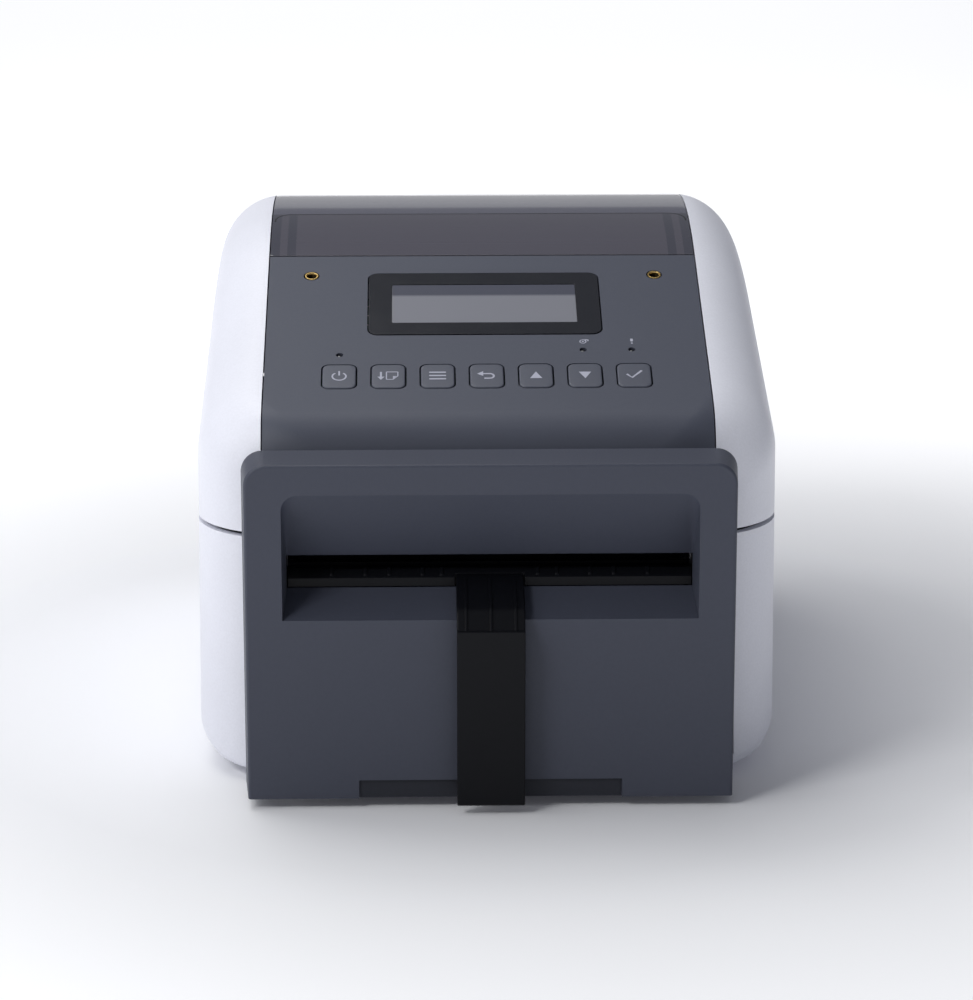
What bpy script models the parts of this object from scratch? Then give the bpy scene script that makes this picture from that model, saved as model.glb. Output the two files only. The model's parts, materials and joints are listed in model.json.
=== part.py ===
"""Desktop label printer with a hinged cover, a key panel and a front cutter unit.

The frame: +X to the printer's right as its user faces it, +Y to the rear, +Z up.
The origin is on the table, under the middle of the printer's box. Sizes are in
millimetres and become metres where a mesh is made.
"""

import math

import bmesh
import bpy
from mathutils import Matrix, Vector

MM = 0.001

# ---------------------------------------------------------------- driving dimensions
# Case
BODY_WIDTH = 180.0
BODY_DEPTH = 224.0
BODY_TOP = 156.5
BODY_BASE = 3.3
SEAM_HEIGHT = 79.0
SEAM_GAP = 1.2
WALL = 2.6
GAP = 0.4
RUNNING_GAP = 0.3
FRONT_CORNER = 28.0
REAR_CORNER = 24.0
SIDE_ROUNDING = 20.0
BASE_ROUNDING = 11.0
BASE_ROUNDING_FRONT = 3.5
SIDE_LEAN = 0.06
LEAN_START = 88.0
NOSE_RADIUS = 19.5
CROWN_RADIUS = 134.0
REAR_RADIUS = 22.0
PANEL_SLOPE = math.radians(21.0)
REAR_SLOPE = math.radians(11.0)
CROWN_SETBACK = 143.0

# Centre strip of the cover: control panel, then window
STRIP_WIDTH = 138.0
WINDOW_SETBACK = 94.0
WINDOW_END_SETBACK = 190.0
WINDOW_WALL = 2.0

# Control panel furniture
KEY_NAMES = ("power", "feed", "menu", "back", "up", "down", "ok")
KEY_PITCH = 15.16
KEY_WIDTH = 11.2
KEY_LENGTH = 13.7
KEY_CORNER = 2.6
KEY_DEPTH = 6.0
KEY_TRAVEL = 0.8
KEY_ROW_SETBACK = 28.9
BEZEL_WIDTH = 74.0
BEZEL_LENGTH = 36.3
BEZEL_CORNER = 3.5
BEZEL_SETBACK = 67.3
BEZEL_THICKNESS = 1.6
SCREEN_WIDTH = 58.6
SCREEN_LENGTH = 22.3
SCREEN_BORDER = 3.6
SCREEN_DEPTH = 5.0
LAMP_RADIUS = 1.15
LAMP_LENGTH = 7.0
INSERT_SPACING = 110.0
INSERT_SETBACK = 82.9
INSERT_RADIUS = 2.25
INSERT_BORE = 1.3
INSERT_LENGTH = 5.0
BOARD_THICKNESS = 1.6
PANEL_BOARD_DEPTH = 9.0
LINER_DEPTH = 13.0

# The widest labels, and the widths that follow from them
MEDIA_WIDTH = 118.4
GUIDE_THICKNESS = 2.6
GUIDE_BACK_LENGTH = 20.4
GUIDE_TRAVEL = (MEDIA_WIDTH - GUIDE_BACK_LENGTH) / 2
PLATEN_LENGTH = MEDIA_WIDTH - 0.4
HEAD_WIDTH = PLATEN_LENGTH - 2.0
DECK_WIDTH = MEDIA_WIDTH + 1.6
TRAY_WALL = 2.0
TRAY_CLEARANCE = 1.2
TRAY_WIDTH = MEDIA_WIDTH + 2 * (GUIDE_THICKNESS + TRAY_WALL + TRAY_CLEARANCE)
FRAME_SPACING = TRAY_WIDTH + 2.0
SLOT_WIDTH = MEDIA_WIDTH + 4.0
RECESS_WIDTH = SLOT_WIDTH + 2.0

# Cutter unit on the front
CUTTER_SIDE = 11.0
CUTTER_WIDTH = RECESS_WIDTH + 2 * CUTTER_SIDE
CUTTER_FLARE = 1.4
CUTTER_BASE = 3.0
CUTTER_TOP = 107.0
CUTTER_CORNER = 6.5
CUTTER_COVER_DEPTH = 17.0
CUTTER_DEPTH = 23.0
CUTTER_WALL = 2.4
RECESS_BASE = 59.2
RECESS_TOP = 97.8
RECESS_DEPTH = 14.0
SLOT_BASE = 65.5
SLOT_TOP = 75.6
NOTCH_WIDTH = 79.6
NOTCH_HEIGHT = 5.8
NOTCH_DEPTH = 1.0
RAMP_TOP = 70.7
BLADE_THICKNESS = 1.2
BLADE_TRAVEL = 13.0
MOTOR_RADIUS = 10.0

# Chute that hangs from the slot
CHUTE_WIDTH = 20.4
CHUTE_PROUD = 7.0
CHUTE_THICKNESS = 2.6
CHUTE_BASE = 2.6
CHUTE_STEP = 57.6

# Inside
FOOT_RADIUS = 7.0
FOOT_HEIGHT = 3.0
BASE_PLATE_WALL = 2.2
TRAY_SETBACK = 134.0
TRAY_HEIGHT = 82.0
TRAY_RADIUS = 64.0
TRAY_RIM = 76.0
DECK_HEIGHT = 68.0
SENSOR_TRAVEL = 24.0
FOOT_STEP = 0.3
FOOT_LENGTH = 3.0
RACK_BASE = 8.2
RACK_HEIGHT = 3.2
SHEET = 1.2
PLATEN_SETBACK = 16.5
PLATEN_HEIGHT = 62.0
PLATEN_RADIUS = 7.5
SHAFT_RADIUS = 3.0
MODULE = 1.0
PLATEN_TEETH = 20
IDLER_TEETH = 36
PINION_TEETH = 12
BLADE_GEAR_TEETH = 16
BLADE_GEAR_INSET = 5.7
BLADE_GEAR_HEIGHT = 30.0
GUIDE_GEAR_TEETH = 16
GEAR_WIDTH = 4.0
STEPPER_SIZE = 35.0
STEPPER_LENGTH = 24.0
STEPPER_SETBACK = 45.0
STEPPER_HEIGHT = 28.0
LATCH_SETBACK = 62.0
LATCH_HEIGHT = 62.0
LATCH_RADIUS = 2.2
HINGE_SPACING = 100.0
HINGE_BARREL = 3.2
HINGE_INSET = 1.0
HINGE_PIN = 1.2
KNUCKLE_LENGTH = 12.0
PORT_HEIGHT = 12.5

# ---------------------------------------------------------------- places worked out from them
HINGE_PROUD = HINGE_BARREL - HINGE_INSET
TOTAL_DEPTH = CHUTE_PROUD + CUTTER_DEPTH + BODY_DEPTH + HINGE_PROUD
REAR = TOTAL_DEPTH / 2 - HINGE_PROUD
FRONT = REAR - BODY_DEPTH
FACE = FRONT - CUTTER_DEPTH
HALF_WIDTH = BODY_WIDTH / 2
COVER_BASE = SEAM_HEIGHT + SEAM_GAP / 2
CASE_TOP = SEAM_HEIGHT - SEAM_GAP / 2
FRAME_X = FRAME_SPACING / 2
PLATEN = (FRONT + PLATEN_SETBACK, PLATEN_HEIGHT)
STEPPER = (FRONT + STEPPER_SETBACK, STEPPER_HEIGHT)
LATCH = (FRONT + LATCH_SETBACK, LATCH_HEIGHT)
TRAY = (FRONT + TRAY_SETBACK, TRAY_HEIGHT)
HINGE = (REAR - HINGE_INSET, SEAM_HEIGHT)
SENSOR_X = (-6.0, 6.0)
SENSOR_SLOT_X = (SENSOR_X[0] - SENSOR_TRAVEL - 1.0, SENSOR_X[1] + SENSOR_TRAVEL + 1.0)
SENSOR_SLOT_Y = (FRONT + 34.0, FRONT + 40.0)
HOOK_X = (FRAME_X - 5.6, FRAME_X - 3.2)
POCKET = (FACE + CUTTER_COVER_DEPTH + 1.0, FRONT - 2.0)
MOVING_BLADE_Y = (POCKET[0] + RUNNING_GAP, POCKET[0] + RUNNING_GAP + BLADE_THICKNESS)
FIXED_BLADE_Y = (MOVING_BLADE_Y[1] + RUNNING_GAP, MOVING_BLADE_Y[1] + RUNNING_GAP + BLADE_THICKNESS)
BLADE_GEAR = (SLOT_WIDTH / 2 - BLADE_GEAR_INSET, BLADE_GEAR_HEIGHT)

# Frames for flat outlines: where the outline's u and v run, and the way it is extruded
ALONG_X = Matrix(((0, 0, 1, 0), (1, 0, 0, 0), (0, 1, 0, 0), (0, 0, 0, 1)))
ALONG_Y = Matrix(((1, 0, 0, 0), (0, 0, 1, 0), (0, 1, 0, 0), (0, 0, 0, 1)))
ALONG_Z = Matrix.Identity(4)

for leftover in list(bpy.data.objects):
    bpy.data.objects.remove(leftover)

PRINTER = bpy.data.collections.new("label_maker")
TOOLS = bpy.data.collections.new("cutters")
bpy.context.scene.collection.children.link(PRINTER)
bpy.context.scene.collection.children.link(TOOLS)


# ---------------------------------------------------------------- outlines
def arc(centre, radius, start, end, step=15.0):
    """Points on an arc, with its angles in degrees."""
    count = max(1, math.ceil(abs(end - start) / step))
    angles = [math.radians(start + (end - start) * i / count) for i in range(count + 1)]
    return [(centre[0] + radius * math.cos(a), centre[1] + radius * math.sin(a)) for a in angles]


def rounded(*corners, step=22.5):
    """A closed outline through corners (u, v, radius), with each corner filleted."""
    points = []
    for i, (u, v, radius) in enumerate(corners):
        here = Vector((u, v))
        back = (Vector(corners[i - 1][:2]) - here).normalized()
        ahead = (Vector(corners[(i + 1) % len(corners)][:2]) - here).normalized()
        if radius <= 0:
            points.append((u, v))
            continue
        half = back.angle(ahead) / 2
        centre = here + (back + ahead).normalized() * (radius / math.sin(half))
        first = here + back * (radius / math.tan(half)) - centre
        last = here + ahead * (radius / math.tan(half)) - centre
        turn = first.angle_signed(last)
        count = max(1, math.ceil(abs(math.degrees(turn)) / step))
        for k in range(count + 1):
            spoke = first.copy()
            spoke.rotate(Matrix.Rotation(-turn * k / count, 2))
            points.append(tuple(centre + spoke))
    return points


def slab(u, v, radius=0.0):
    """A rectangle outline between u[0]..u[1] and v[0]..v[1], with rounded corners."""
    return rounded((u[0], v[0], radius), (u[1], v[0], radius), (u[1], v[1], radius), (u[0], v[1], radius))


def disc(centre, radius, sides=24):
    """A round outline."""
    return arc(centre, radius, 0.0, 360.0, 360.0 / sides)[:-1]


def gear_outline(centre, teeth, phase=0.0):
    """A spur gear with straight-sided teeth, one of them centred on the phase angle."""
    pitch_radius = MODULE * teeth / 2
    step = math.tau / teeth
    points = []
    for k in range(teeth):
        middle = phase + k * step
        for part, depth in ((-0.30, -1.1), (-0.13, 0.8), (0.13, 0.8), (0.30, -1.1)):
            angle = middle + part * step
            radius = pitch_radius + depth * MODULE
            points.append((centre[0] + radius * math.cos(angle), centre[1] + radius * math.sin(angle)))
    return points


def rack_outline(start, end, pitch_line, back, gap_at, toothward):
    """A straight rack between start and end, with a gap between teeth at gap_at."""
    pitch = math.pi * MODULE
    first = math.ceil((start + 0.5 * pitch - gap_at) / pitch - 0.5)
    points = [(start, back), (start, pitch_line - toothward * 1.3 * MODULE)]
    middle = gap_at + (first + 0.5) * pitch
    while middle < end - 0.45 * pitch:
        for part, depth in ((-0.30, -1.1), (-0.13, 0.8), (0.13, 0.8), (0.30, -1.1)):
            points.append((middle + part * pitch, pitch_line + toothward * depth * MODULE))
        middle += pitch
    return points + [(end, pitch_line - toothward * 1.3 * MODULE), (end, back)]


# ---------------------------------------------------------------- solids
def as_tool(mesh):
    """A mesh in metres as an object that only cuts, or waits to be made a piece."""
    tool = bpy.data.objects.new("tool", mesh)
    tool.display_type = "WIRE"
    tool.hide_render = True
    TOOLS.objects.link(tool)
    return tool


def from_bmesh(bm):
    """Turn a bmesh in millimetres into an object in metres, its faces pointing out."""
    bm.normal_update()
    bmesh.ops.recalc_face_normals(bm, faces=bm.faces)
    bmesh.ops.scale(bm, vec=(MM, MM, MM), verts=bm.verts)
    mesh = bpy.data.meshes.new("tool")
    bm.to_mesh(mesh)
    bm.free()
    return as_tool(mesh)


def box(x, y, z):
    """A block between three pairs of limits."""
    bm = bmesh.new()
    bmesh.ops.create_cube(bm, size=1.0)
    bmesh.ops.scale(bm, vec=[side[1] - side[0] for side in (x, y, z)], verts=bm.verts)
    bmesh.ops.translate(bm, vec=[(side[0] + side[1]) / 2 for side in (x, y, z)], verts=bm.verts)
    return from_bmesh(bm)


def rod(frame, centre, radius, start, end, sides=24):
    """A round bar along the frame's third axis."""
    bm = bmesh.new()
    bmesh.ops.create_cone(
        bm, cap_ends=True, segments=sides, radius1=radius, radius2=radius, depth=end - start)
    bmesh.ops.translate(bm, vec=(centre[0], centre[1], (start + end) / 2), verts=bm.verts)
    bm.transform(frame)
    return from_bmesh(bm)


def prism(frame, start, end, *outlines):
    """Flat outlines extruded along the frame's third axis; an inner one is a hole."""
    curve = bpy.data.curves.new("outline", "CURVE")
    curve.dimensions = "2D"
    curve.fill_mode = "BOTH"
    curve.extrude = (end - start) / 2
    for points in outlines:
        spline = curve.splines.new("POLY")
        spline.points.add(len(points) - 1)
        spline.use_cyclic_u = True
        for point, (u, v) in zip(spline.points, points):
            point.co = (u, v, 0.0, 1.0)
    holder = bpy.data.objects.new("outline", curve)
    TOOLS.objects.link(holder)
    graph = bpy.context.evaluated_depsgraph_get()
    flat = bpy.data.meshes.new_from_object(holder.evaluated_get(graph))
    bpy.data.objects.remove(holder)
    bm = bmesh.new()
    bm.from_mesh(flat)
    bpy.data.meshes.remove(flat)
    bmesh.ops.remove_doubles(bm, verts=bm.verts, dist=0.001)
    bmesh.ops.translate(bm, vec=(0, 0, (start + end) / 2), verts=bm.verts)
    bm.transform(frame)
    return from_bmesh(bm)


def loft(rings):
    """A closed skin over rings of equal point count, with a flat cap on each end."""
    bm = bmesh.new()
    rows = [[bm.verts.new(point) for point in ring] for ring in rings]
    for near, far in zip(rows, rows[1:]):
        for i in range(len(near)):
            bm.faces.new((near[i - 1], near[i], far[i], far[i - 1]))
    bm.faces.new(rows[0])
    bm.faces.new(rows[-1])
    return from_bmesh(bm)


def combine(operation, target, tools):
    """Add one Boolean modifier for each tool."""
    for tool in tools:
        modifier = target.modifiers.new(operation.lower(), "BOOLEAN")
        modifier.operation = operation
        modifier.solver = "EXACT"
        modifier.object = tool
    return target


def cut(target, *tools):
    return combine("DIFFERENCE", target, tools)


def join(target, *tools):
    return combine("UNION", target, tools)


def keep(target, *tools):
    return combine("INTERSECT", target, tools)


# ---------------------------------------------------------------- finishes
def finish(name, colour, roughness, metallic=0.0):
    """A plain finish with one colour."""
    look = bpy.data.materials.new(name)
    look.use_nodes = True
    shader = look.node_tree.nodes["Principled BSDF"]
    shader.inputs["Base Color"].default_value = (*colour, 1.0)
    shader.inputs["Roughness"].default_value = roughness
    shader.inputs["Metallic"].default_value = metallic
    return look


WHITE = finish("white_plastic", (0.80, 0.81, 0.86), 0.45)
PANEL_GREY = finish("panel_grey", (0.10, 0.11, 0.135), 0.5)
CUTTER_GREY = finish("cutter_grey", (0.07, 0.078, 0.10), 0.5)
INNER_GREY = finish("inner_grey", (0.045, 0.047, 0.052), 0.6)
BLACK = finish("black_plastic", (0.008, 0.008, 0.010), 0.45)
SMOKE = finish("smoke_window", (0.03, 0.03, 0.035), 0.08)
GLOSS_BLACK = finish("gloss_black", (0.006, 0.007, 0.009), 0.1)
SCREEN = finish("screen", (0.30, 0.31, 0.32), 0.2)
KEY_GREY = finish("key_grey", (0.10, 0.11, 0.135), 0.45)
RUBBER = finish("rubber", (0.02, 0.02, 0.02), 0.85)
ROLLER = finish("roller_rubber", (0.05, 0.05, 0.055), 0.8)
STEEL = finish("steel", (0.55, 0.56, 0.58), 0.35, 1.0)
BRASS = finish("brass", (0.78, 0.57, 0.24), 0.3, 1.0)
GEAR_WHITE = finish("gear_nylon", (0.75, 0.74, 0.70), 0.5)
BOARD_GREEN = finish("circuit_board", (0.02, 0.16, 0.07), 0.45)
LAMP_CLEAR = finish("lamp_clear", (0.12, 0.13, 0.14), 0.2)
LEVER_GREY = finish("lever_grey", (0.16, 0.17, 0.19), 0.5)


def piece(name, solid, look, pivot=None):
    """Make a solid a named piece of the printer, with its origin on its joint's axis."""
    TOOLS.objects.unlink(solid)
    PRINTER.objects.link(solid)
    solid.name = name
    solid.display_type = "TEXTURED"
    solid.hide_render = False
    solid.data.materials.clear()
    solid.data.materials.append(look)
    if pivot:
        place = Vector(pivot) * MM
        solid.data.transform(Matrix.Translation(-place))
        solid.location = place
    return solid


# ---------------------------------------------------------------- the case's outer form
def nose_centre():
    """Centre of the arc between the front face and the panel's slope."""
    y = FRONT + NOSE_RADIUS
    return y, slope_height(y) - NOSE_RADIUS / math.cos(PANEL_SLOPE)


def crown_centre():
    return FRONT + CROWN_SETBACK, BODY_TOP - CROWN_RADIUS


def rear_centre():
    """Centre of the arc between the roof and the rear face."""
    y = REAR - REAR_RADIUS
    crown_y, crown_z = crown_centre()
    touch_y = crown_y + CROWN_RADIUS * math.sin(REAR_SLOPE)
    touch_z = crown_z + CROWN_RADIUS * math.cos(REAR_SLOPE)
    roof = touch_z - (y - touch_y) * math.tan(REAR_SLOPE)
    return y, roof - REAR_RADIUS / math.cos(REAR_SLOPE)


def slope_height(y):
    """Height of the panel's plane, which meets the crown's arc tangentially."""
    crown_y, crown_z = crown_centre()
    touch_y = crown_y - CROWN_RADIUS * math.sin(PANEL_SLOPE)
    touch_z = crown_z + CROWN_RADIUS * math.cos(PANEL_SLOPE)
    return touch_z + (y - touch_y) * math.tan(PANEL_SLOPE)


def roof_line(inset):
    """The cover's side profile from the front face over the crown to the rear face."""
    slope = math.degrees(PANEL_SLOPE)
    fall = math.degrees(REAR_SLOPE)
    line = arc(nose_centre(), NOSE_RADIUS - inset, 180.0, 90.0 + slope, 12.0)
    line += arc(crown_centre(), CROWN_RADIUS - inset, 90.0 + slope, 90.0 - fall, 4.4)
    return line + arc(rear_centre(), REAR_RADIUS - inset, 90.0 - fall, 0.0, 15.0)


def height_at(line, y):
    """Height of a profile line at y."""
    for (y0, z0), (y1, z1) in zip(line, line[1:]):
        if y0 <= y <= y1:
            return z0 + (z1 - z0) * (y - y0) / max(y1 - y0, 1e-9)
    return line[0][1] if y < line[0][0] else line[-1][1]


def half_width_at(y, inset):
    """Half the case's width at y, with rounded corners in plan."""
    for corner, radius, reach in (
            (FRONT_CORNER, FRONT_CORNER - inset, FRONT + FRONT_CORNER - y),
            (REAR_CORNER, REAR_CORNER - inset, y - (REAR - REAR_CORNER))):
        if reach > 0:
            return HALF_WIDTH - corner + math.sqrt(max(radius ** 2 - reach ** 2, 0.0))
    return HALF_WIDTH - inset


def base_rounding_at(y):
    """Radius of the lower long edges, small at the front and full along the sides."""
    share = min(max((y - FRONT) / FRONT_CORNER, 0.0), 1.0)
    smooth = share * share * (3.0 - 2.0 * share)
    return BASE_ROUNDING_FRONT + (BASE_ROUNDING - BASE_ROUNDING_FRONT) * smooth


def case_ring(y, inset, line):
    """The case's cross-section at y."""
    half = half_width_at(y, inset)
    top = height_at(line, y)
    base = BODY_BASE + inset
    low = max(base_rounding_at(y) - inset, 0.5)
    high = SIDE_ROUNDING - inset
    ring = arc((half - low, base + low), low, -90.0, 0.0, 22.5)
    ring += arc((half - high, top - high), high, 0.0, 90.0, 18.0)
    ring += [(-u, v) for u, v in reversed(ring)]
    leaned = []
    for u, v in ring:
        u *= 1.0 - SIDE_LEAN * max(0.0, v - LEAN_START) / HALF_WIDTH
        leaned.append((u, y, v))
    return leaned


def case_form(inset):
    """The whole case as one solid, every wall moved in by inset."""
    line = roof_line(inset)
    stations = {round(y, 3) for y, z in line}
    front = (FRONT + FRONT_CORNER, 0.0)
    rear = (REAR - REAR_CORNER, 0.0)
    stations |= {round(y, 3) for y, x in arc(front, FRONT_CORNER - inset, 180.0, 90.0, 15.0)}
    stations |= {round(y, 3) for y, x in arc(rear, REAR_CORNER - inset, 90.0, 0.0, 15.0)}
    stations = sorted(y for y in stations if FRONT + inset <= y <= REAR - inset)
    spaced = [stations[0]]
    for y in stations[1:-1]:
        if y - spaced[-1] > 0.5 and stations[-1] - y > 0.5:
            spaced.append(y)
    spaced.append(stations[-1])
    return loft([case_ring(y, inset, line) for y in spaced])


def case_skin(wall=WALL):
    """The case's outer skin before it is parted into covers."""
    return cut(case_form(0.0), case_form(wall))


FAR = 200.0
ABOVE_SEAM = (COVER_BASE, FAR)
BELOW_SEAM = (-1.0, CASE_TOP)
EVERY_X = (-FAR, FAR)
STRIP_X = (-STRIP_WIDTH / 2, STRIP_WIDTH / 2)


# ---------------------------------------------------------------- lower case
def port_layout():
    """Each rear socket: name, middle x, body width, body height, mouth width, mouth height."""
    return (
        ("dc_inlet", -54.0, 12.0, 12.0, 7.0, 7.0),
        ("usb_socket", -32.0, 14.0, 14.0, 8.6, 7.8),
        ("usb_host_socket", -8.0, 16.0, 9.0, 12.4, 4.6),
        ("lan_socket", 16.0, 17.0, 14.5, 12.0, 8.6),
        ("serial_socket", 46.0, 31.0, 12.5, 17.0, 8.2),
    )


def hinge_x(side):
    """The span of a hinge's middle knuckle on one side."""
    middle = side * HINGE_SPACING / 2
    return middle - KNUCKLE_LENGTH / 2, middle + KNUCKLE_LENGTH / 2


def outer_knuckle_spans(side):
    """The spans of the two case knuckles that hold one cover knuckle."""
    low, high = hinge_x(side)
    return (
        (low - GAP - KNUCKLE_LENGTH / 2, low - GAP),
        (high + GAP, high + GAP + KNUCKLE_LENGTH / 2),
    )


def lever_window(growth=0.0):
    """The outline of a release lever's pocket in the side wall."""
    y, z = LATCH
    return slab((y - 8.5 - growth, y + 8.5 + growth), (z - 12.0 - growth, z + 12.0 + growth), 3.0)


def make_lower_case():
    """The white lower case, with the hinge knuckles on its rear edge."""
    case = cut(
        case_skin(),
        box(EVERY_X, (-FAR, FAR), (CASE_TOP, FAR)),
        prism(ALONG_Z, -1.0, BODY_BASE + WALL + 1.0, base_opening(0.0)),
        box((-SLOT_WIDTH / 2, SLOT_WIDTH / 2), (FRONT - 1.0, FRONT + WALL + 1.0), (RAMP_TOP, FAR)),
        box(EVERY_X, (REAR - 4.0, REAR + 1.0), (CASE_TOP - 1.2, FAR)),
    )
    for name, x, width, height, *mouth in port_layout():
        spans = (x - width / 2 - GAP, x + width / 2 + GAP), (PORT_HEIGHT - GAP, PORT_HEIGHT + height + GAP)
        cut(case, prism(ALONG_Y, REAR - WALL - 1.0, REAR + 1.0, slab(*spans, 0.8)))
    for side in (-1, 1):
        wall = sorted((side * (HALF_WIDTH - WALL - 2.0), side * (HALF_WIDTH + 1.0)))
        cut(case, prism(ALONG_X, *wall, lever_window()))
        for span in outer_knuckle_spans(side):
            join(case, rod(ALONG_X, HINGE, HINGE_BARREL, *span))
        low, high = hinge_x(side)
        cut(case, rod(ALONG_X, HINGE, HINGE_BARREL + GAP, low - GAP / 2, high + GAP / 2))
        cut(case, rod(ALONG_X, HINGE, HINGE_PIN + RUNNING_GAP, low - FAR / 4, high + FAR / 4))
    return piece("lower_case", case, WHITE)


def base_opening(inset):
    """The outline of the opening in the case's floor, which the base plate fills."""
    half = HALF_WIDTH - BASE_ROUNDING - 3.0 - inset
    return slab((-half, half), (FRONT + 14.0 + inset, REAR - 14.0 - inset), 14.0 - inset)


def make_base_plate():
    """The grey base plate with its cooling slots."""
    top = BODY_BASE + BASE_PLATE_WALL
    plate = prism(ALONG_Z, BODY_BASE, top, base_opening(GAP))
    for k in range(5):
        y = FRONT + 40.0 + 9.0 * k
        cut(plate, prism(ALONG_Z, BODY_BASE - 1.0, top + 1.0, slab((20.0, 56.0), (y, y + 3.0), 1.4)))
    piece("base_plate", plate, INNER_GREY)
    for side, side_name in ((-1, "left"), (1, "right")):
        for y, end_name in ((FRONT + 30.0, "front"), (REAR - 30.0, "rear")):
            centre = (side * (HALF_WIDTH - 26.0), y)
            foot = rod(ALONG_Z, centre, FOOT_RADIUS, 0.0, FOOT_HEIGHT)
            piece("foot_" + end_name + "_" + side_name, foot, RUBBER)


# ---------------------------------------------------------------- roll tray and media guides
def tray_form(radius, half, top):
    """A lying half-round trough form."""
    y, z = TRAY
    reach = math.degrees(math.asin((z - min(top, z)) / radius))
    outline = arc(TRAY, radius, 180.0 + reach, 360.0 - reach, 9.0)
    if top > z:
        outline = [(y - radius, top)] + outline + [(y + radius, top)]
    return prism(ALONG_X, -half, half, outline)


def guide_slot(side):
    """The y span of the slot that one guide's foot runs in."""
    near = TRAY[0] + side * MODULE * (GUIDE_GEAR_TEETH / 2 + 1.5)
    far = near + side * FOOT_LENGTH
    return tuple(sorted((near, far)))


def make_roll_tray():
    """The trough that holds the roll, with the deck that the labels slide over."""
    outer = TRAY_RADIUS + TRAY_WALL
    deck_front = FRONT + 24.0
    deck_rear = TRAY[0] - math.sqrt(outer ** 2 - (TRAY_HEIGHT - DECK_HEIGHT) ** 2) + TRAY_WALL / 2
    deck_x = (-DECK_WIDTH / 2, DECK_WIDTH / 2)
    tray = tray_form(outer, TRAY_WIDTH / 2, TRAY_RIM)
    join(tray, box(deck_x, (deck_front, deck_rear), (DECK_HEIGHT - TRAY_WALL, DECK_HEIGHT)))
    cut(
        tray,
        tray_form(TRAY_RADIUS, TRAY_WIDTH / 2 - TRAY_WALL, TRAY[1] + 1.0),
        box((-MEDIA_WIDTH / 2 - 0.2, MEDIA_WIDTH / 2 + 0.2), (deck_front - 1.0, TRAY[0]), (DECK_HEIGHT, FAR)),
        box(SENSOR_SLOT_X, SENSOR_SLOT_Y, (DECK_HEIGHT - TRAY_WALL - 1.0, DECK_HEIGHT + 1.0)),
    )
    for side in (-1, 1):
        reach = sorted((side * 6.0, side * (TRAY_WIDTH / 2 - TRAY_WALL - 0.5)))
        low, high = guide_slot(side)
        cut(tray, box(reach, (low - GAP, high + GAP), (0.0, TRAY_HEIGHT - TRAY_RADIUS + 3.0)))
    return piece("roll_tray", tray, INNER_GREY)


def make_sensor_carriage():
    """The sliding optical sensor under the label path."""
    low, high = SENSOR_SLOT_Y
    middle = (low + high) / 2
    top = DECK_HEIGHT - 0.2
    under = DECK_HEIGHT - TRAY_WALL - RUNNING_GAP
    carriage = box(SENSOR_X, (low + RUNNING_GAP, high - RUNNING_GAP), (under - 2.0, top))
    join(carriage, box(SENSOR_X, (low - 2.0, high + 2.0), (under - 5.0, under)))
    return piece("sensor_carriage", carriage, BLACK, (0.0, middle, top))


def make_media_guide(name, turn):
    """A media guide: a cheek in the trough, a foot through its slot and a rack below.

    The two guides are alike, one turned half round about the pinion between them.
    """
    y, z = TRAY
    inner = -MEDIA_WIDTH / 2
    outer = inner - GUIDE_THICKNESS
    radius = TRAY_RADIUS - 1.6
    cheek = arc((y, z), radius, 236.0, 304.0, 8.5)
    cheek += [(y + 30.0, z + 6.0), (y + 22.0, z + 16.0), (y - 22.0, z + 16.0), (y - 30.0, z + 6.0)]
    guide = prism(ALONG_X, outer, inner, cheek)
    foot_x = (outer + FOOT_STEP, inner - FOOT_STEP)
    foot_y = guide_slot(-1)
    foot = box(foot_x, foot_y, (RACK_BASE + FOOT_STEP, TRAY_HEIGHT - radius + 6.0))
    pitch_line = y - MODULE * GUIDE_GEAR_TEETH / 2
    rack = rack_outline(outer + 2 * FOOT_STEP, 8.0, pitch_line, foot_y[0] + FOOT_STEP, 0.0, 1)
    rack = prism(ALONG_Z, RACK_BASE, RACK_BASE + RACK_HEIGHT, rack)
    pinion_axis = Matrix.Translation((0.0, y * MM, 0.0))
    placing = pinion_axis @ Matrix.Rotation(turn, 4, "Z") @ pinion_axis.inverted()
    for solid in (guide, foot, rack):
        solid.data.transform(placing)
    side = -math.cos(turn)
    return piece(name, join(guide, foot, rack), LEVER_GREY, (side * MEDIA_WIDTH / 2, y, RACK_BASE))


def make_guide_pinion():
    """The pinion that keeps both media guides centred."""
    centre = (0.0, TRAY[0])
    outline = gear_outline(centre, GUIDE_GEAR_TEETH, -math.pi / 2)
    gear = prism(ALONG_Z, RACK_BASE, RACK_BASE + RACK_HEIGHT, outline)
    cut(gear, rod(ALONG_Z, centre, 1.8 + RUNNING_GAP, 0.0, TRAY_HEIGHT))
    piece("guide_pinion", gear, GEAR_WHITE, (*centre, RACK_BASE))


# ---------------------------------------------------------------- print frame and drive
def idler_place():
    """Where the idler stands so that it meshes with the platen gear and the motor pinion."""
    near = MODULE * (PLATEN_TEETH + IDLER_TEETH) / 2
    far = MODULE * (IDLER_TEETH + PINION_TEETH) / 2
    start = Vector(PLATEN)
    span = Vector(STEPPER) - start
    along = (near ** 2 - far ** 2 + span.length ** 2) / (2 * span.length)
    aside = math.sqrt(near ** 2 - along ** 2)
    unit = span.normalized()
    return tuple(start + unit * along + Vector((-unit.y, unit.x)) * aside)


def meshed_phase(driver, driver_teeth, driver_phase, follower, follower_teeth):
    """The phase that puts a follower's gap where the driver's tooth reaches it."""
    way = math.atan2(follower[1] - driver[1], follower[0] - driver[0])
    step = math.tau / driver_teeth
    offset = (driver_phase - way + step / 2) % step - step / 2
    turned = -offset * driver_teeth / follower_teeth
    return way + math.pi + turned + math.pi / follower_teeth


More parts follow.
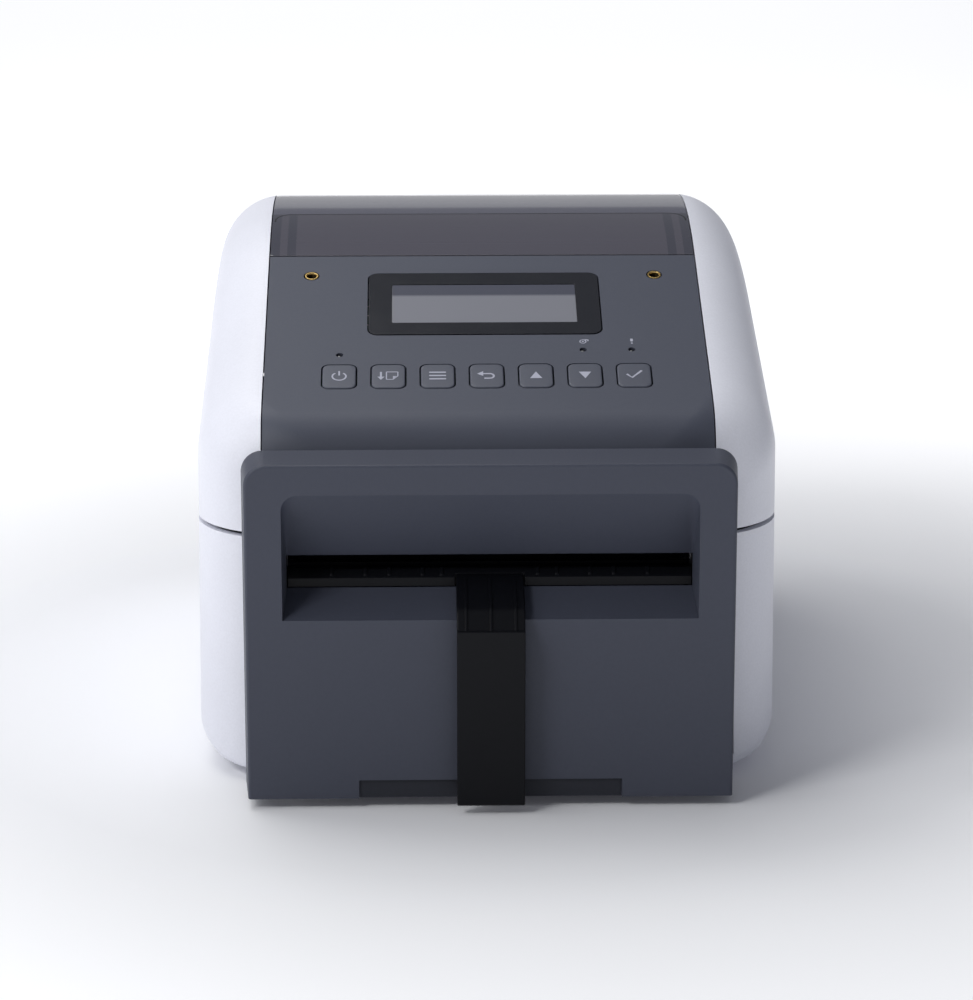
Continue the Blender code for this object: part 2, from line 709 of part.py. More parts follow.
def side_frame_outline():
    """The outline of a sheet steel side frame."""
    return rounded(
        (FRONT + 4.0, 72.0, 3.0), (FRONT + 4.0, 48.0, 3.0), (FRONT + 22.0, 9.0, 3.0),
        (FRONT + 66.0, 9.0, 3.0), (FRONT + 66.5, 72.0, 3.0))


def make_side_frame(side, name):
    """One side frame; the left one carries the idler's stud."""
    faces = sorted((side * FRAME_X, side * (FRAME_X + SHEET)))
    holes = [disc(PLATEN, SHAFT_RADIUS + RUNNING_GAP), disc(LATCH, LATCH_RADIUS + RUNNING_GAP)]
    if side < 0:
        holes.append(disc(STEPPER, 4.0))
    frame = prism(ALONG_X, *faces, side_frame_outline(), *holes)
    if side < 0:
        join(frame, rod(ALONG_X, idler_place(), 2.2, faces[0] - GEAR_WIDTH - 2.0, faces[1]))
    return piece(name, frame, STEEL)


def make_frame_crossbar():
    """The folded bar that ties the side frames together under the platen."""
    reach = FRAME_X - GAP
    y = FRONT + PLATEN_SETBACK + PLATEN_RADIUS + 3.0
    bar = prism(ALONG_X, -reach, reach, [
        (y, 48.0), (y, 60.0), (y + SHEET, 60.0), (y + SHEET, 48.0 + SHEET),
        (y + 12.0, 48.0 + SHEET), (y + 12.0, 48.0)])
    piece("frame_crossbar", bar, STEEL)


def gear_faces():
    """The x span of the drive gears, outside the left side frame."""
    outer = -FRAME_X - SHEET - 1.0
    return outer - GEAR_WIDTH, outer


def make_drive():
    """Platen roller, its shaft and gear, the idler, and the motor with its pinion."""
    gears = gear_faces()
    platen_pivot = (0.0, *PLATEN)
    half = PLATEN_LENGTH / 2
    shaft = rod(ALONG_X, PLATEN, SHAFT_RADIUS, gears[0] - 0.5, FRAME_X + SHEET + 2.0)
    piece("platen_shaft", shaft, STEEL, platen_pivot)
    sleeve = prism(
        ALONG_X, -half, half, disc(PLATEN, PLATEN_RADIUS, 32), disc(PLATEN, SHAFT_RADIUS + GAP))
    piece("platen_roller", sleeve, ROLLER, platen_pivot)
    way = math.atan2(idler_place()[1] - PLATEN[1], idler_place()[0] - PLATEN[0])
    gear = prism(ALONG_X, *gears, gear_outline(PLATEN, PLATEN_TEETH, way), disc(PLATEN, SHAFT_RADIUS + GAP))
    piece("platen_gear", gear, GEAR_WHITE, platen_pivot)
    idler = idler_place()
    idler_phase = meshed_phase(PLATEN, PLATEN_TEETH, way, idler, IDLER_TEETH)
    gear = prism(
        ALONG_X, *gears, gear_outline(idler, IDLER_TEETH, idler_phase), disc(idler, 2.2 + RUNNING_GAP))
    piece("idler_gear", gear, GEAR_WHITE, (0.0, *idler))
    pinion_phase = meshed_phase(idler, IDLER_TEETH, idler_phase, STEPPER, PINION_TEETH)
    pinion = prism(ALONG_X, *gears, gear_outline(STEPPER, PINION_TEETH, pinion_phase))
    join(pinion, rod(ALONG_X, STEPPER, 2.0, gears[0] + 1.0, -FRAME_X + 6.0, 16))
    piece("motor_pinion", pinion, BRASS, (0.0, *STEPPER))
    reach = STEPPER_SIZE / 2
    y, z = STEPPER
    outline = slab((y - reach, y + reach), (z - reach, z + reach), 4.0)
    start = -FRAME_X + GAP
    motor = prism(ALONG_X, start, start + STEPPER_LENGTH, outline)
    cut(motor, rod(ALONG_X, STEPPER, 2.0 + RUNNING_GAP, start - 1.0, start + 7.0, 16))
    piece("stepper_motor", motor, STEEL)


def make_print_head():
    """The thermal head over the platen, and the bracket that carries it in the cover."""
    y = PLATEN[0]
    half = HEAD_WIDTH / 2
    low = PLATEN_HEIGHT + PLATEN_RADIUS + GAP
    head = box((-half, half), (y - 5.0, y + 9.0), (low, low + 4.0))
    piece("print_head", head, STEEL)
    web_x = (-half, half)
    shelf = 92.0
    bracket = box(web_x, (y + 1.0, y + 1.0 + SHEET), (low + 4.0 + GAP, shelf + SHEET / 2))
    catch = LATCH[0] - 5.0
    fold = [
        (y - 3.0, shelf), (catch - SHEET, shelf), (catch - SHEET, 82.5), (catch, 82.5),
        (catch, shelf + SHEET), (y - 3.0, shelf + SHEET)]
    join(bracket, prism(ALONG_X, -FRAME_X + 1.0, FRAME_X - 1.0, fold))
    for side in (-1, 1):
        hole = sorted((side * (HOOK_X[0] - 0.8), side * (HOOK_X[1] + 0.8)))
        cut(bracket, box(hole, (catch - 2.0, catch + 1.0), (84.5, 89.5)))
    piece("head_bracket", bracket, STEEL)


def make_latch():
    """The latch bar with its two hooks, and a release lever on each end of it."""
    y, z = LATCH
    pivot = (0.0, y, z)
    end = -gear_faces()[0] + 5.0
    bar = rod(ALONG_X, LATCH, LATCH_RADIUS, -end, end)
    hook = [
        (y - 2.6, z - 2.6), (y + 2.6, z - 2.6), (y + 2.0, z + 27.0), (y - 1.0, z + 27.0),
        (y - 5.0 + GAP, z + 24.0), (y - 5.0 + GAP, z + 23.0), (y - 1.0, z + 23.0), (y - 2.0, z + 6.0)]
    for side in (-1, 1):
        span = sorted((side * HOOK_X[0], side * HOOK_X[1]))
        join(bar, prism(ALONG_X, *span, hook))
    piece("latch_bar", bar, STEEL, pivot)
    for side, name in ((-1, "release_lever_left"), (1, "release_lever_right")):
        near, far = end - 4.0, HALF_WIDTH - 0.6
        hub = sorted((side * near, side * (far - 6.0)))
        lever = rod(ALONG_X, LATCH, 5.0, *hub)
        pad = slab((y - 5.5, y + 5.5), (z - 10.0, z + 10.0), 2.5)
        join(lever, prism(ALONG_X, *sorted((side * (far - 7.0), side * far)), pad))
        bore = sorted((side * (near - 1.0), side * (end + GAP)))
        cut(lever, rod(ALONG_X, LATCH, LATCH_RADIUS + RUNNING_GAP, *bore))
        piece(name, lever, LEVER_GREY, pivot)


# ---------------------------------------------------------------- rear electronics
def make_main_board():
    """The circuit board behind the tray, with the sockets along its rear edge."""
    board_top = PORT_HEIGHT - GAP
    board = box((-70.0, 70.0), (REAR - 50.0, REAR - 5.0), (board_top - BOARD_THICKNESS, board_top))
    piece("main_board", board, BOARD_GREEN)
    for name, x, width, height, mouth_width, mouth_height in port_layout():
        middle = PORT_HEIGHT + height / 2
        span = (x - width / 2, x + width / 2)
        body = box(span, (REAR - 16.0, REAR - 0.8), (PORT_HEIGHT, PORT_HEIGHT + height))
        half_u, half_v = mouth_width / 2, mouth_height / 2
        if name == "dc_inlet":
            mouth = disc((x, middle), half_u, 20)
        else:
            mouth = slab((x - half_u, x + half_u), (middle - half_v, middle + half_v), 0.4)
        cut(body, prism(ALONG_Y, REAR - 12.0, REAR + 1.0, mouth))
        look = STEEL if name in ("usb_socket", "usb_host_socket", "lan_socket") else BLACK
        piece(name, body, look)


def make_hinge_pins():
    """The two pins that the cover turns on."""
    for side, name in ((-1, "hinge_pin_left"), (1, "hinge_pin_right")):
        spans = outer_knuckle_spans(side)
        pin = rod(ALONG_X, HINGE, HINGE_PIN, spans[0][0] + GAP, spans[1][1] - GAP, 16)
        piece(name, pin, STEEL, (0.0, *HINGE))


# ---------------------------------------------------------------- cover
def make_upper_cover():
    """The white cover: both cheeks and the rear, with the centre strip left open."""
    cover = cut(
        case_skin(),
        box(EVERY_X, (-FAR, FAR), (-1.0, COVER_BASE)),
        box(STRIP_X, (FRONT - 1.0, FRONT + WINDOW_END_SETBACK), (0.0, FAR)),
    )
    for side in (-1, 1):
        for low, high in outer_knuckle_spans(side):
            cut(cover, rod(ALONG_X, HINGE, HINGE_BARREL + GAP, low - GAP / 2, high + GAP / 2))
        low, high = hinge_x(side)
        join(cover, rod(ALONG_X, HINGE, HINGE_BARREL, low, high))
        cut(cover, rod(ALONG_X, HINGE, HINGE_PIN + RUNNING_GAP, low - 1.0, high + 1.0))
    return piece("upper_cover", cover, WHITE, (0.0, *HINGE))


def panel_frame(setback):
    """A frame on the panel's surface: x across, y up the slope, z out of the panel."""
    y = FRONT + setback
    turn = Matrix.Rotation(PANEL_SLOPE, 4, "X")
    return Matrix.Translation((0.0, y, slope_height(y))) @ turn


def key_x(index):
    """The middle of a key along the row."""
    return (index - (len(KEY_NAMES) - 1) / 2) * KEY_PITCH


def key_outline(index, inset):
    half_u, half_v = KEY_WIDTH / 2 - inset, KEY_LENGTH / 2 - inset
    x = key_x(index)
    return slab((x - half_u, x + half_u), (-half_v, half_v), KEY_CORNER - inset)


def bezel_outline(inset):
    half_u, half_v = BEZEL_WIDTH / 2 - inset, BEZEL_LENGTH / 2 - inset
    return slab((-half_u, half_u), (-half_v, half_v), BEZEL_CORNER - inset)


def lamp_layout():
    """Each lamp: name, middle x, setback from the case's front."""
    return (
        ("lamp_power", key_x(0), 40.2),
        ("lamp_status", key_x(5), 42.4),
        ("lamp_alert", key_x(6), 42.4),
    )


def make_control_panel():
    """The grey control panel with its openings."""
    strip = (STRIP_X[0] + GAP, STRIP_X[1] - GAP)
    zone = box(strip, (FRONT - 1.0, FRONT + WINDOW_SETBACK - GAP / 2), ABOVE_SEAM)
    panel = keep(case_skin(), zone)
    through = (-2 * WALL, 2 * WALL)
    for index in range(len(KEY_NAMES)):
        cut(panel, prism(panel_frame(KEY_ROW_SETBACK), *through, key_outline(index, 0.0)))
    cut(panel, prism(panel_frame(BEZEL_SETBACK), *through, bezel_outline(0.0)))
    for name, x, setback in lamp_layout():
        cut(panel, prism(panel_frame(setback), *through, disc((x, 0.0), LAMP_RADIUS, 16)))
    for side in (-1, 1):
        hole = disc((side * INSERT_SPACING / 2, 0.0), INSERT_RADIUS + RUNNING_GAP, 20)
        cut(panel, prism(panel_frame(INSERT_SETBACK), *through, hole))
    return piece("control_panel", panel, PANEL_GREY)


def make_panel_furniture():
    """Keys, lamps, inserts, display and the board behind the control panel."""
    frame = panel_frame(KEY_ROW_SETBACK)
    for index, name in enumerate(KEY_NAMES):
        key = prism(frame, -KEY_DEPTH, 0.2, key_outline(index, 0.5))
        pivot = frame @ Vector((key_x(index), 0.0, 0.0))
        piece("key_" + name, key, KEY_GREY, pivot)
    for name, x, setback in lamp_layout():
        lamp = rod(panel_frame(setback), (x, 0.0), LAMP_RADIUS - RUNNING_GAP, -LAMP_LENGTH, -0.4, 16)
        piece(name, lamp, LAMP_CLEAR)
    for side, name in ((-1, "insert_left"), (1, "insert_right")):
        centre = (side * INSERT_SPACING / 2, 0.0)
        rings = disc(centre, INSERT_RADIUS, 20), disc(centre, INSERT_BORE, 20)
        piece(name, prism(panel_frame(INSERT_SETBACK), -INSERT_LENGTH, 0.1, *rings), BRASS)
    frame = panel_frame(BEZEL_SETBACK)
    half_u, half_v = SCREEN_WIDTH / 2, SCREEN_LENGTH / 2
    sight = slab((-half_u, half_u), (-half_v, half_v), 0.6)
    bezel = prism(frame, 0.2 - BEZEL_THICKNESS, 0.2, bezel_outline(GAP), sight)
    piece("display_bezel", bezel, GLOSS_BLACK)
    half_u, half_v = half_u + SCREEN_BORDER, half_v + SCREEN_BORDER
    top = 0.2 - BEZEL_THICKNESS - RUNNING_GAP
    module = slab((-half_u, half_u), (-half_v, half_v), 1.0)
    piece("display_module", prism(frame, top - SCREEN_DEPTH, top, module), SCREEN)
    frame = panel_frame((KEY_ROW_SETBACK + BEZEL_SETBACK) / 2)
    low = KEY_ROW_SETBACK - BEZEL_SETBACK
    board = slab((-56.0, 56.0), (low / 2 - 5.0, -low / 2 + 18.0), 1.0)
    under = -PANEL_BOARD_DEPTH - BOARD_THICKNESS
    piece("control_board", prism(frame, under, -PANEL_BOARD_DEPTH, board), BOARD_GREEN)
    liner = slab((-STRIP_WIDTH / 2 + 3.0, STRIP_WIDTH / 2 - 3.0), (low / 2 - 10.0, -low / 2 + 24.0), 3.0)
    piece("cover_liner", prism(frame, -LINER_DEPTH - 2.0, -LINER_DEPTH, liner), INNER_GREY)


def make_cover_window():
    """The smoked window over the roll."""
    strip = (STRIP_X[0] + GAP, STRIP_X[1] - GAP)
    span = (FRONT + WINDOW_SETBACK + GAP / 2, FRONT + WINDOW_END_SETBACK - GAP)
    window = keep(case_skin(WINDOW_WALL), box(strip, span, ABOVE_SEAM))
    return piece("cover_window", window, SMOKE)


# ---------------------------------------------------------------- cutter unit
def hood_ring(depth, half, top, corner, base=CUTTER_BASE):
    """The cutter cover's outline at one depth behind its face."""
    y = FACE + depth
    upper = arc((half - corner, top - corner), corner, 0.0, 90.0, 15.0)
    ring = [(half, base)] + upper
    ring += [(-u, v) for u, v in reversed(ring)]
    return [(u, y, v) for u, v in ring]


def funnel(growth, front, rear):
    """The recess around the slot, from in front of the face to the slot's mouth."""
    rings = []
    for depth in (front, rear):
        share = depth / RECESS_DEPTH
        half = RECESS_WIDTH / 2 + (SLOT_WIDTH - RECESS_WIDTH) / 2 * share + growth
        low = RECESS_BASE + (SLOT_BASE - RECESS_BASE) * share - growth
        high = RECESS_TOP + (SLOT_TOP - RECESS_TOP) * share + growth
        y = FACE + depth
        rings.append([(-half, y, low), (half, y, low), (half, y, high), (-half, y, high)])
    return loft(rings)


def make_cutter_cover():
    """The grey hood over the cutter, with the recess that leads labels out."""
    half = CUTTER_WIDTH / 2
    flare = CUTTER_FLARE
    depth = CUTTER_COVER_DEPTH
    hood = loft([
        hood_ring(0.0, half - 0.8, CUTTER_TOP - 0.8, CUTTER_CORNER),
        hood_ring(0.8, half, CUTTER_TOP, CUTTER_CORNER),
        hood_ring(depth, half + flare, CUTTER_TOP + 0.4, CUTTER_CORNER),
    ])
    inner = loft([
        hood_ring(CUTTER_WALL, half - CUTTER_WALL, CUTTER_TOP - CUTTER_WALL, CUTTER_CORNER - 2.0, 0.0),
        hood_ring(
            depth + 1.0, half + flare - CUTTER_WALL, CUTTER_TOP - CUTTER_WALL, CUTTER_CORNER - 2.0, 0.0),
    ])
    cut(inner, funnel(CUTTER_WALL, 0.0, RECESS_DEPTH))
    slot = (-SLOT_WIDTH / 2, SLOT_WIDTH / 2), (SLOT_BASE, SLOT_TOP)
    notch = (-NOTCH_WIDTH / 2, NOTCH_WIDTH / 2), (CUTTER_BASE - 1.0, CUTTER_BASE + NOTCH_HEIGHT)
    cut(
        hood, inner, funnel(0.0, -1.0, RECESS_DEPTH),
        box(slot[0], (FACE + RECESS_DEPTH - 1.0, FACE + depth + 1.0), slot[1]),
        box(notch[0], (FACE - 1.0, FACE + NOTCH_DEPTH), notch[1]),
        box(EVERY_X, (FACE + CUTTER_WALL, FACE + depth + 1.0), (0.0, CUTTER_BASE)),
    )
    return piece("cutter_cover", hood, CUTTER_GREY)


def make_cutter_frame():
    """The steel frame behind the hood, with a pocket that the blades run in."""
    half = CUTTER_WIDTH / 2 - 3.0
    frame = box((-half, half), (FACE + CUTTER_COVER_DEPTH + GAP, FRONT - GAP), (6.0, 98.0))
    pocket = half - 3.5
    cut(
        frame,
        box((-pocket, pocket), (FACE + CUTTER_COVER_DEPTH - 1.0, POCKET[1]), (10.0, 94.0)),
        box((-SLOT_WIDTH / 2, SLOT_WIDTH / 2), (FRONT - 3.0, FRONT + 1.0), (RAMP_TOP - 1.0, SLOT_TOP + 1.5)),
    )
    piece("cutter_frame", frame, STEEL)


def make_blades():
    """The fixed blade above the path, the moving blade below it, and its drive."""
    half = SLOT_WIDTH / 2 - 1.0
    fixed = box((-half, half), FIXED_BLADE_Y, (SLOT_TOP + 0.4, 90.0))
    piece("fixed_blade", fixed, STEEL)
    rack_line = BLADE_GEAR[0] + MODULE * BLADE_GEAR_TEETH / 2
    base = BLADE_GEAR[1] + MODULE * (BLADE_GEAR_TEETH / 2 + 1.0) + 4.0
    edge = SLOT_BASE - 1.0
    plate = box((-half + 1.0, half - 1.0), MOVING_BLADE_Y, (base, edge))
    rack_base = BLADE_GEAR[1] - BLADE_TRAVEL - 6.0
    teeth = rack_outline(rack_base, base + 6.0, rack_line, rack_line + 2.4, BLADE_GEAR[1], -1)
    rack = prism(ALONG_Y, *MOVING_BLADE_Y, [(u, v) for v, u in teeth])
    arm_y = (MOVING_BLADE_Y[0] + 0.1, MOVING_BLADE_Y[1] - 0.1)
    arm = box((half - 10.0, rack_line + 2.0), arm_y, (base + 1.0, edge - 1.0))
    piece("moving_blade", join(plate, rack, arm), STEEL, (rack_line, MOVING_BLADE_Y[0], edge))
    gear = prism(ALONG_Y, *MOVING_BLADE_Y, gear_outline(BLADE_GEAR, BLADE_GEAR_TEETH, 0.0))
    pivot = (BLADE_GEAR[0], MOVING_BLADE_Y[0], BLADE_GEAR[1])
    join(gear, rod(ALONG_Y, BLADE_GEAR, 1.5, FACE + 12.0, MOVING_BLADE_Y[0] + 0.5, 16))
    piece("cutter_gear", gear, BRASS, pivot)
    motor = rod(ALONG_Y, BLADE_GEAR, MOTOR_RADIUS, FACE + CUTTER_WALL + 1.6, FACE + CUTTER_COVER_DEPTH - 0.6)
    bore = rod(ALONG_Y, BLADE_GEAR, 1.5 + RUNNING_GAP, FACE + 11.0, FACE + CUTTER_COVER_DEPTH, 16)
    piece("cutter_motor", cut(motor, bore), STEEL)


def make_slot_guide():
    """The ribbed ramp that fills the lower half of the slot."""
    start = FACE + RECESS_DEPTH - GAP
    end = FACE + CUTTER_COVER_DEPTH + 0.6
    base = SLOT_BASE + RUNNING_GAP
    lip = base + 2.7
    half = SLOT_WIDTH / 2 - RUNNING_GAP
    profile = [(start, base), (start, lip), (end - 0.6, RAMP_TOP - 0.4), (end, RAMP_TOP - 0.4), (end, base)]
    guide = prism(ALONG_X, -half, half, profile)
    rib = [(start + 0.6, lip), (start + 0.9, lip + 0.9), (end - 0.8, RAMP_TOP), (end - 0.1, RAMP_TOP),
           (end - 0.1, base + 1.0), (start + 0.6, base + 1.0)]
    for distance in (14.5, 20.3, 30.3, 37.5, 47.7):
        for side in (-1, 1):
            middle = side * distance
            join(guide, prism(ALONG_X, middle - 0.5, middle + 0.5, rib))
    half = CHUTE_WIDTH / 2 + RUNNING_GAP
    cut(guide, box((-half, half), (start - 1.0, start + 1.6), (base - 1.0, RAMP_TOP + 1.0)))
    return piece("slot_guide", guide, BLACK)


def make_label_chute():
    """The black tongue that leads labels out of the slot and down in front."""
    half = CHUTE_WIDTH / 2
    front = FACE - CHUTE_PROUD
    back = front + CHUTE_THICKNESS
    start = FACE + RECESS_DEPTH + 0.9
    base = SLOT_BASE + RUNNING_GAP
    profile = rounded(
        (start, base, 0.0), (start, base + 3.4, 0.0), (start - 3.0, base + 3.0, 0.0),
        (front + 5.0, base - 3.0, 4.0), (front + 0.9, CHUTE_STEP, 0.0), (front, CHUTE_STEP, 0.0),
        (front, CHUTE_BASE, 0.0), (back, CHUTE_BASE, 0.0), (back, CHUTE_STEP - 1.0, 3.0),
        (back + 5.6, base - 2.0, 3.0), (start - 6.0, base, 0.0))
    chute = prism(ALONG_X, -half, half, profile)
    return piece("label_chute", chute, BLACK)


make_lower_case()
make_base_plate()
make_roll_tray()
make_sensor_carriage()
make_media_guide("guide_left", 0.0)
make_media_guide("guide_right", math.pi)
make_guide_pinion()
make_side_frame(-1, "side_frame_left")
make_side_frame(1, "side_frame_right")
make_frame_crossbar()
make_drive()
make_print_head()
make_latch()
make_main_board()
make_hinge_pins()
make_upper_cover()
make_control_panel()
make_panel_furniture()
make_cover_window()
make_cutter_cover()
make_cutter_frame()
make_blades()
make_slot_guide()
make_label_chute()
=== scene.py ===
# %% [markdown]
# # A desktop label printer, dressed around its working frame
# The imported model already holds every part in its true place, with its joints. This lesson loads
# that frame first and never moves it. Each cell then makes one piece or one finish, hangs it on
# the body it belongs to, and hides the plain solid it stands for.

# %% Load the frame
import json
import math

import bmesh
import bpy
from mathutils import Matrix, Vector

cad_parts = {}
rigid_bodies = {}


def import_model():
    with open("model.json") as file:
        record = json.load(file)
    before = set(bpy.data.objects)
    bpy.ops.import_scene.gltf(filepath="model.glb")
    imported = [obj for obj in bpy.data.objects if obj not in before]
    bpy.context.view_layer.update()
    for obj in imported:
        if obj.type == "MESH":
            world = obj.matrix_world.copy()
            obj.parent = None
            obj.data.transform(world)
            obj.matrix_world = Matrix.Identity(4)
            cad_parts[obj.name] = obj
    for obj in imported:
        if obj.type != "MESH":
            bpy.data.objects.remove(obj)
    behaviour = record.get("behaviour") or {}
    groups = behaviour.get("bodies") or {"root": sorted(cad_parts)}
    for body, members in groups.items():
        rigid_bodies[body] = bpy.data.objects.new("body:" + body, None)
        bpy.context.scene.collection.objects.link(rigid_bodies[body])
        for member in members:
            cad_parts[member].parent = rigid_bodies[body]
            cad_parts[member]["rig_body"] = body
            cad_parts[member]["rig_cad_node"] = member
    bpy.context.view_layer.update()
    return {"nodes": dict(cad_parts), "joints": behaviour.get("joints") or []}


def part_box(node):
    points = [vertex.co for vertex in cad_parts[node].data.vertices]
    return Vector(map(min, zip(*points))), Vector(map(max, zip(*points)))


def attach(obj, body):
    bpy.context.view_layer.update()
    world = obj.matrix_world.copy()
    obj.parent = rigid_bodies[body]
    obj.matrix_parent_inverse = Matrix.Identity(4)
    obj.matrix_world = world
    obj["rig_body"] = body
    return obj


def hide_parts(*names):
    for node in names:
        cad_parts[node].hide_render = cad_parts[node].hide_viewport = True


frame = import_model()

MM = 0.001

# %% [markdown]
# ## Where things are
# Outlines are drawn in millimetres, because that is how a moulded case is dimensioned, and become
# metres when a mesh is made. The main places come from the frame: the case's edges from its
# solid's box, the seam and the hinge from the cover's joint.

# %% Places read from the frame
def limits(node):
    """A solid's lowest and highest corners, in millimetres."""
    low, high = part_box(node)
    return low / MM, high / MM


JOINTS = {joint["name"]: joint for joint in frame["joints"]}
_, HINGE_Y, SEAM = (value / MM for value in JOINTS["cover_hinge"]["pos_m"])
HINGE = (HINGE_Y, SEAM)
CASE_LOW, CASE_HIGH = limits("lower_case")
HALF_WIDTH = CASE_HIGH.x
FRONT = CASE_LOW.y
BASE = CASE_LOW.z
HINGE_BARREL = CASE_HIGH.z - SEAM
REAR = HINGE_Y + 1.0
TOP = limits("upper_cover")[1].z
FACE = limits("cutter_cover")[0].y
LATCH = tuple(value / MM for value in JOINTS["latch_turn"]["pos_m"][1:])
print("case", round(2 * HALF_WIDTH, 1), "wide, seam at", round(SEAM, 1), "mm")

# %% [markdown]
# ## The camera and the light
# The printer is seen from a little over a metre away, just left of its middle and looking down at
# fifteen degrees, through a long lens that keeps its sides nearly parallel. Four soft lights hang
# on the left and overhead, so the left cheek is almost white and the right one falls to a cool
# grey. A weak one far behind brightens the crown, and the pale room fills the shadows.

# %% Camera, lights and floor
scene = bpy.context.scene
EYE = Vector((-0.0243, -1.1351, 0.368))
LOOK_DOWN = math.radians(15.0)
LOOK_RIGHT = math.radians(1.3)
MIDDLE = Vector((0.0, 0.0, 0.08))


def add(name, data):
    """A new object in the scene."""
    thing = bpy.data.objects.new(name, data)
    scene.collection.objects.link(thing)
    return thing


lens = bpy.data.cameras.new("camera")
lens.lens = 127.8
lens.sensor_width = 36.0
camera = add("camera", lens)
camera.location = EYE
camera.rotation_euler = (math.pi / 2 - LOOK_DOWN, 0.0, -LOOK_RIGHT)
scene.camera = camera
scene.view_settings.view_transform = "Standard"

LIGHTS = (
    # name, place, size, power
    ("window_light", (-1.7, -0.5, 1.2), 1.2, 4.0),
    ("near_key", (-0.85, -0.35, 0.6), 0.6, 1.0),
    ("overhead_front", (-0.72, -0.78, 0.95), 0.35, 5.0),
    ("overhead_rear", (-0.30, 0.25, 1.05), 0.7, 5.6),
    ("rear_glow", (0.0, 2.6, 0.50), 1.1, 1.3),
)
for name, place, size, power in LIGHTS:
    lamp = bpy.data.lights.new(name, "AREA")
    lamp.size = size
    lamp.energy = power
    holder = add(name, lamp)
    holder.location = place
    holder.rotation_euler = (MIDDLE - Vector(place)).to_track_quat("-Z", "Y").to_euler()

world = bpy.data.worlds.new("pale_room")
world.use_nodes = True
room = world.node_tree.nodes["Background"].inputs
room["Color"].default_value = (0.89, 0.92, 1.0, 1.0)
room["Strength"].default_value = 0.205
scene.world = world

FLOOR_HALF = 6.0
bm = bmesh.new()
bmesh.ops.create_grid(bm, x_segments=2, y_segments=2, size=FLOOR_HALF)
floor_mesh = bpy.data.meshes.new("floor")
bm.to_mesh(floor_mesh)
bm.free()
floor = add("floor", floor_mesh)
floor.location.z = -0.0002

# %% [markdown]
# ## Finishes as expressions
# A moulded surface is never one flat colour: it has a spark-eroded grain and a faint drift in
# tone and gloss. One small class wraps a socket, so that sums can be written as sums. Each sum
# adds its own Math node.

# %% The socket wrapper and the finish
class Wire:
    """An output socket of a finish that can be used in arithmetic."""

    def __init__(self, finish, socket):
        self.finish = finish
        self.socket = socket

    def sum(self, operation, first, second, clamp=False):
        """Add one Math node with two inputs."""
        return self.finish.node("ShaderNodeMath", {"operation": operation, "use_clamp": clamp},
                                {0: first, 1: second})

    def wave(self):
        return self.sum("SINE", self, 0.0)

    def clamped(self):
        return self.sum("ADD", self, 0.0, clamp=True)


def operator(operation, swapped=False):
    """A method of Wire that adds one Math node."""
    def apply(self, other=0.0):
        return self.sum(operation, *((other, self) if swapped else (self, other)))
    return apply


OPERATORS = {
    "add": "ADD", "radd": "ADD", "sub": "SUBTRACT", "mul": "MULTIPLY", "rmul": "MULTIPLY",
    "truediv": "DIVIDE", "gt": "GREATER_THAN", "lt": "LESS_THAN", "abs": "ABSOLUTE",
}
for method, operation in OPERATORS.items():
    setattr(Wire, "__%s__" % method, operator(operation))
Wire.__rsub__ = operator("SUBTRACT", swapped=True)


class Finish:
    """A named material, whose shader sockets take plain values or expressions."""

    def __init__(self, name, colour, roughness, **constants):
        self.look = bpy.data.materials.new(name)
        self.look.use_nodes = True
        self.tree = self.look.node_tree
        self.shader = self.tree.nodes["Principled BSDF"]
        self.place = self.node("ShaderNodeTexCoord", out="Object")
        self.colour = (*colour, 1.0)
        self.put("Base Color", self.colour)
        self.put("Roughness", roughness)
        for socket, value in constants.items():
            self.put(socket.replace("_", " ").title().replace("Ior", "IOR"), value)

    def put(self, socket, value):
        """Give one socket of the shader a value or a wire."""
        if isinstance(value, Wire):
            self.tree.links.new(value.socket, self.shader.inputs[socket])
        else:
            self.shader.inputs[socket].default_value = value

    def node(self, kind, settings=None, sockets=None, out=0):
        """Add a node: its settings first, then the values or wires of its sockets."""
        node = self.tree.nodes.new(kind)
        for name, value in (settings or {}).items():
            setattr(node, name, value)
        for name, value in (sockets or {}).items():
            if isinstance(value, Wire):
                self.tree.links.new(value.socket, node.inputs[name])
            else:
                node.inputs[name].default_value = value
        return Wire(self, node.outputs[out])

    def noise(self, size_mm, detail=3.0, stretch=(1.0, 1.0, 1.0)):
        """Noise with features of about one size, in millimetres, from 0 to 1."""
        spot = self.node("ShaderNodeMapping", {}, {"Vector": self.place, "Scale": stretch})
        return self.node("ShaderNodeTexNoise", {},
                         {"Vector": spot, "Scale": 1.0 / (size_mm * MM), "Detail": detail})

    def along(self, axis):
        """Distance along X, Y or Z from the frame's origin, in millimetres."""
        return self.node("ShaderNodeSeparateXYZ", {}, {"Vector": self.place}, out=axis) / MM

    def phase(self, axis, pitch_mm):
        """An angle that makes one turn in every pitch along an axis."""
        return self.along(axis) * (math.tau / pitch_mm)

    def mix(self, share, first, second):
        """Blend two colours; each is a wire or three numbers."""
        ends = [end if isinstance(end, Wire) else (*end, 1.0) for end in (first, second)]
        sockets = {0: share, 6: ends[0], 7: ends[1]}
        return self.node("ShaderNodeMix", {"data_type": "RGBA"}, sockets, out=2)

    def tone(self, share, strength):
        """Drift the base colour lighter and darker with a mask."""
        dark = [c * (1.0 - strength) for c in self.colour[:3]]
        light = [min(c * (1.0 + strength), 1.0) for c in self.colour[:3]]
        self.put("Base Color", self.mix(share, dark, light))
        return self

    def relief(self, height, depth_mm):
        """Raise the surface by a mask, to a depth in millimetres."""
        self.put("Normal", self.node(
            "ShaderNodeBump", {}, {"Height": height, "Distance": depth_mm * MM, "Strength": 1.0}))
        return self


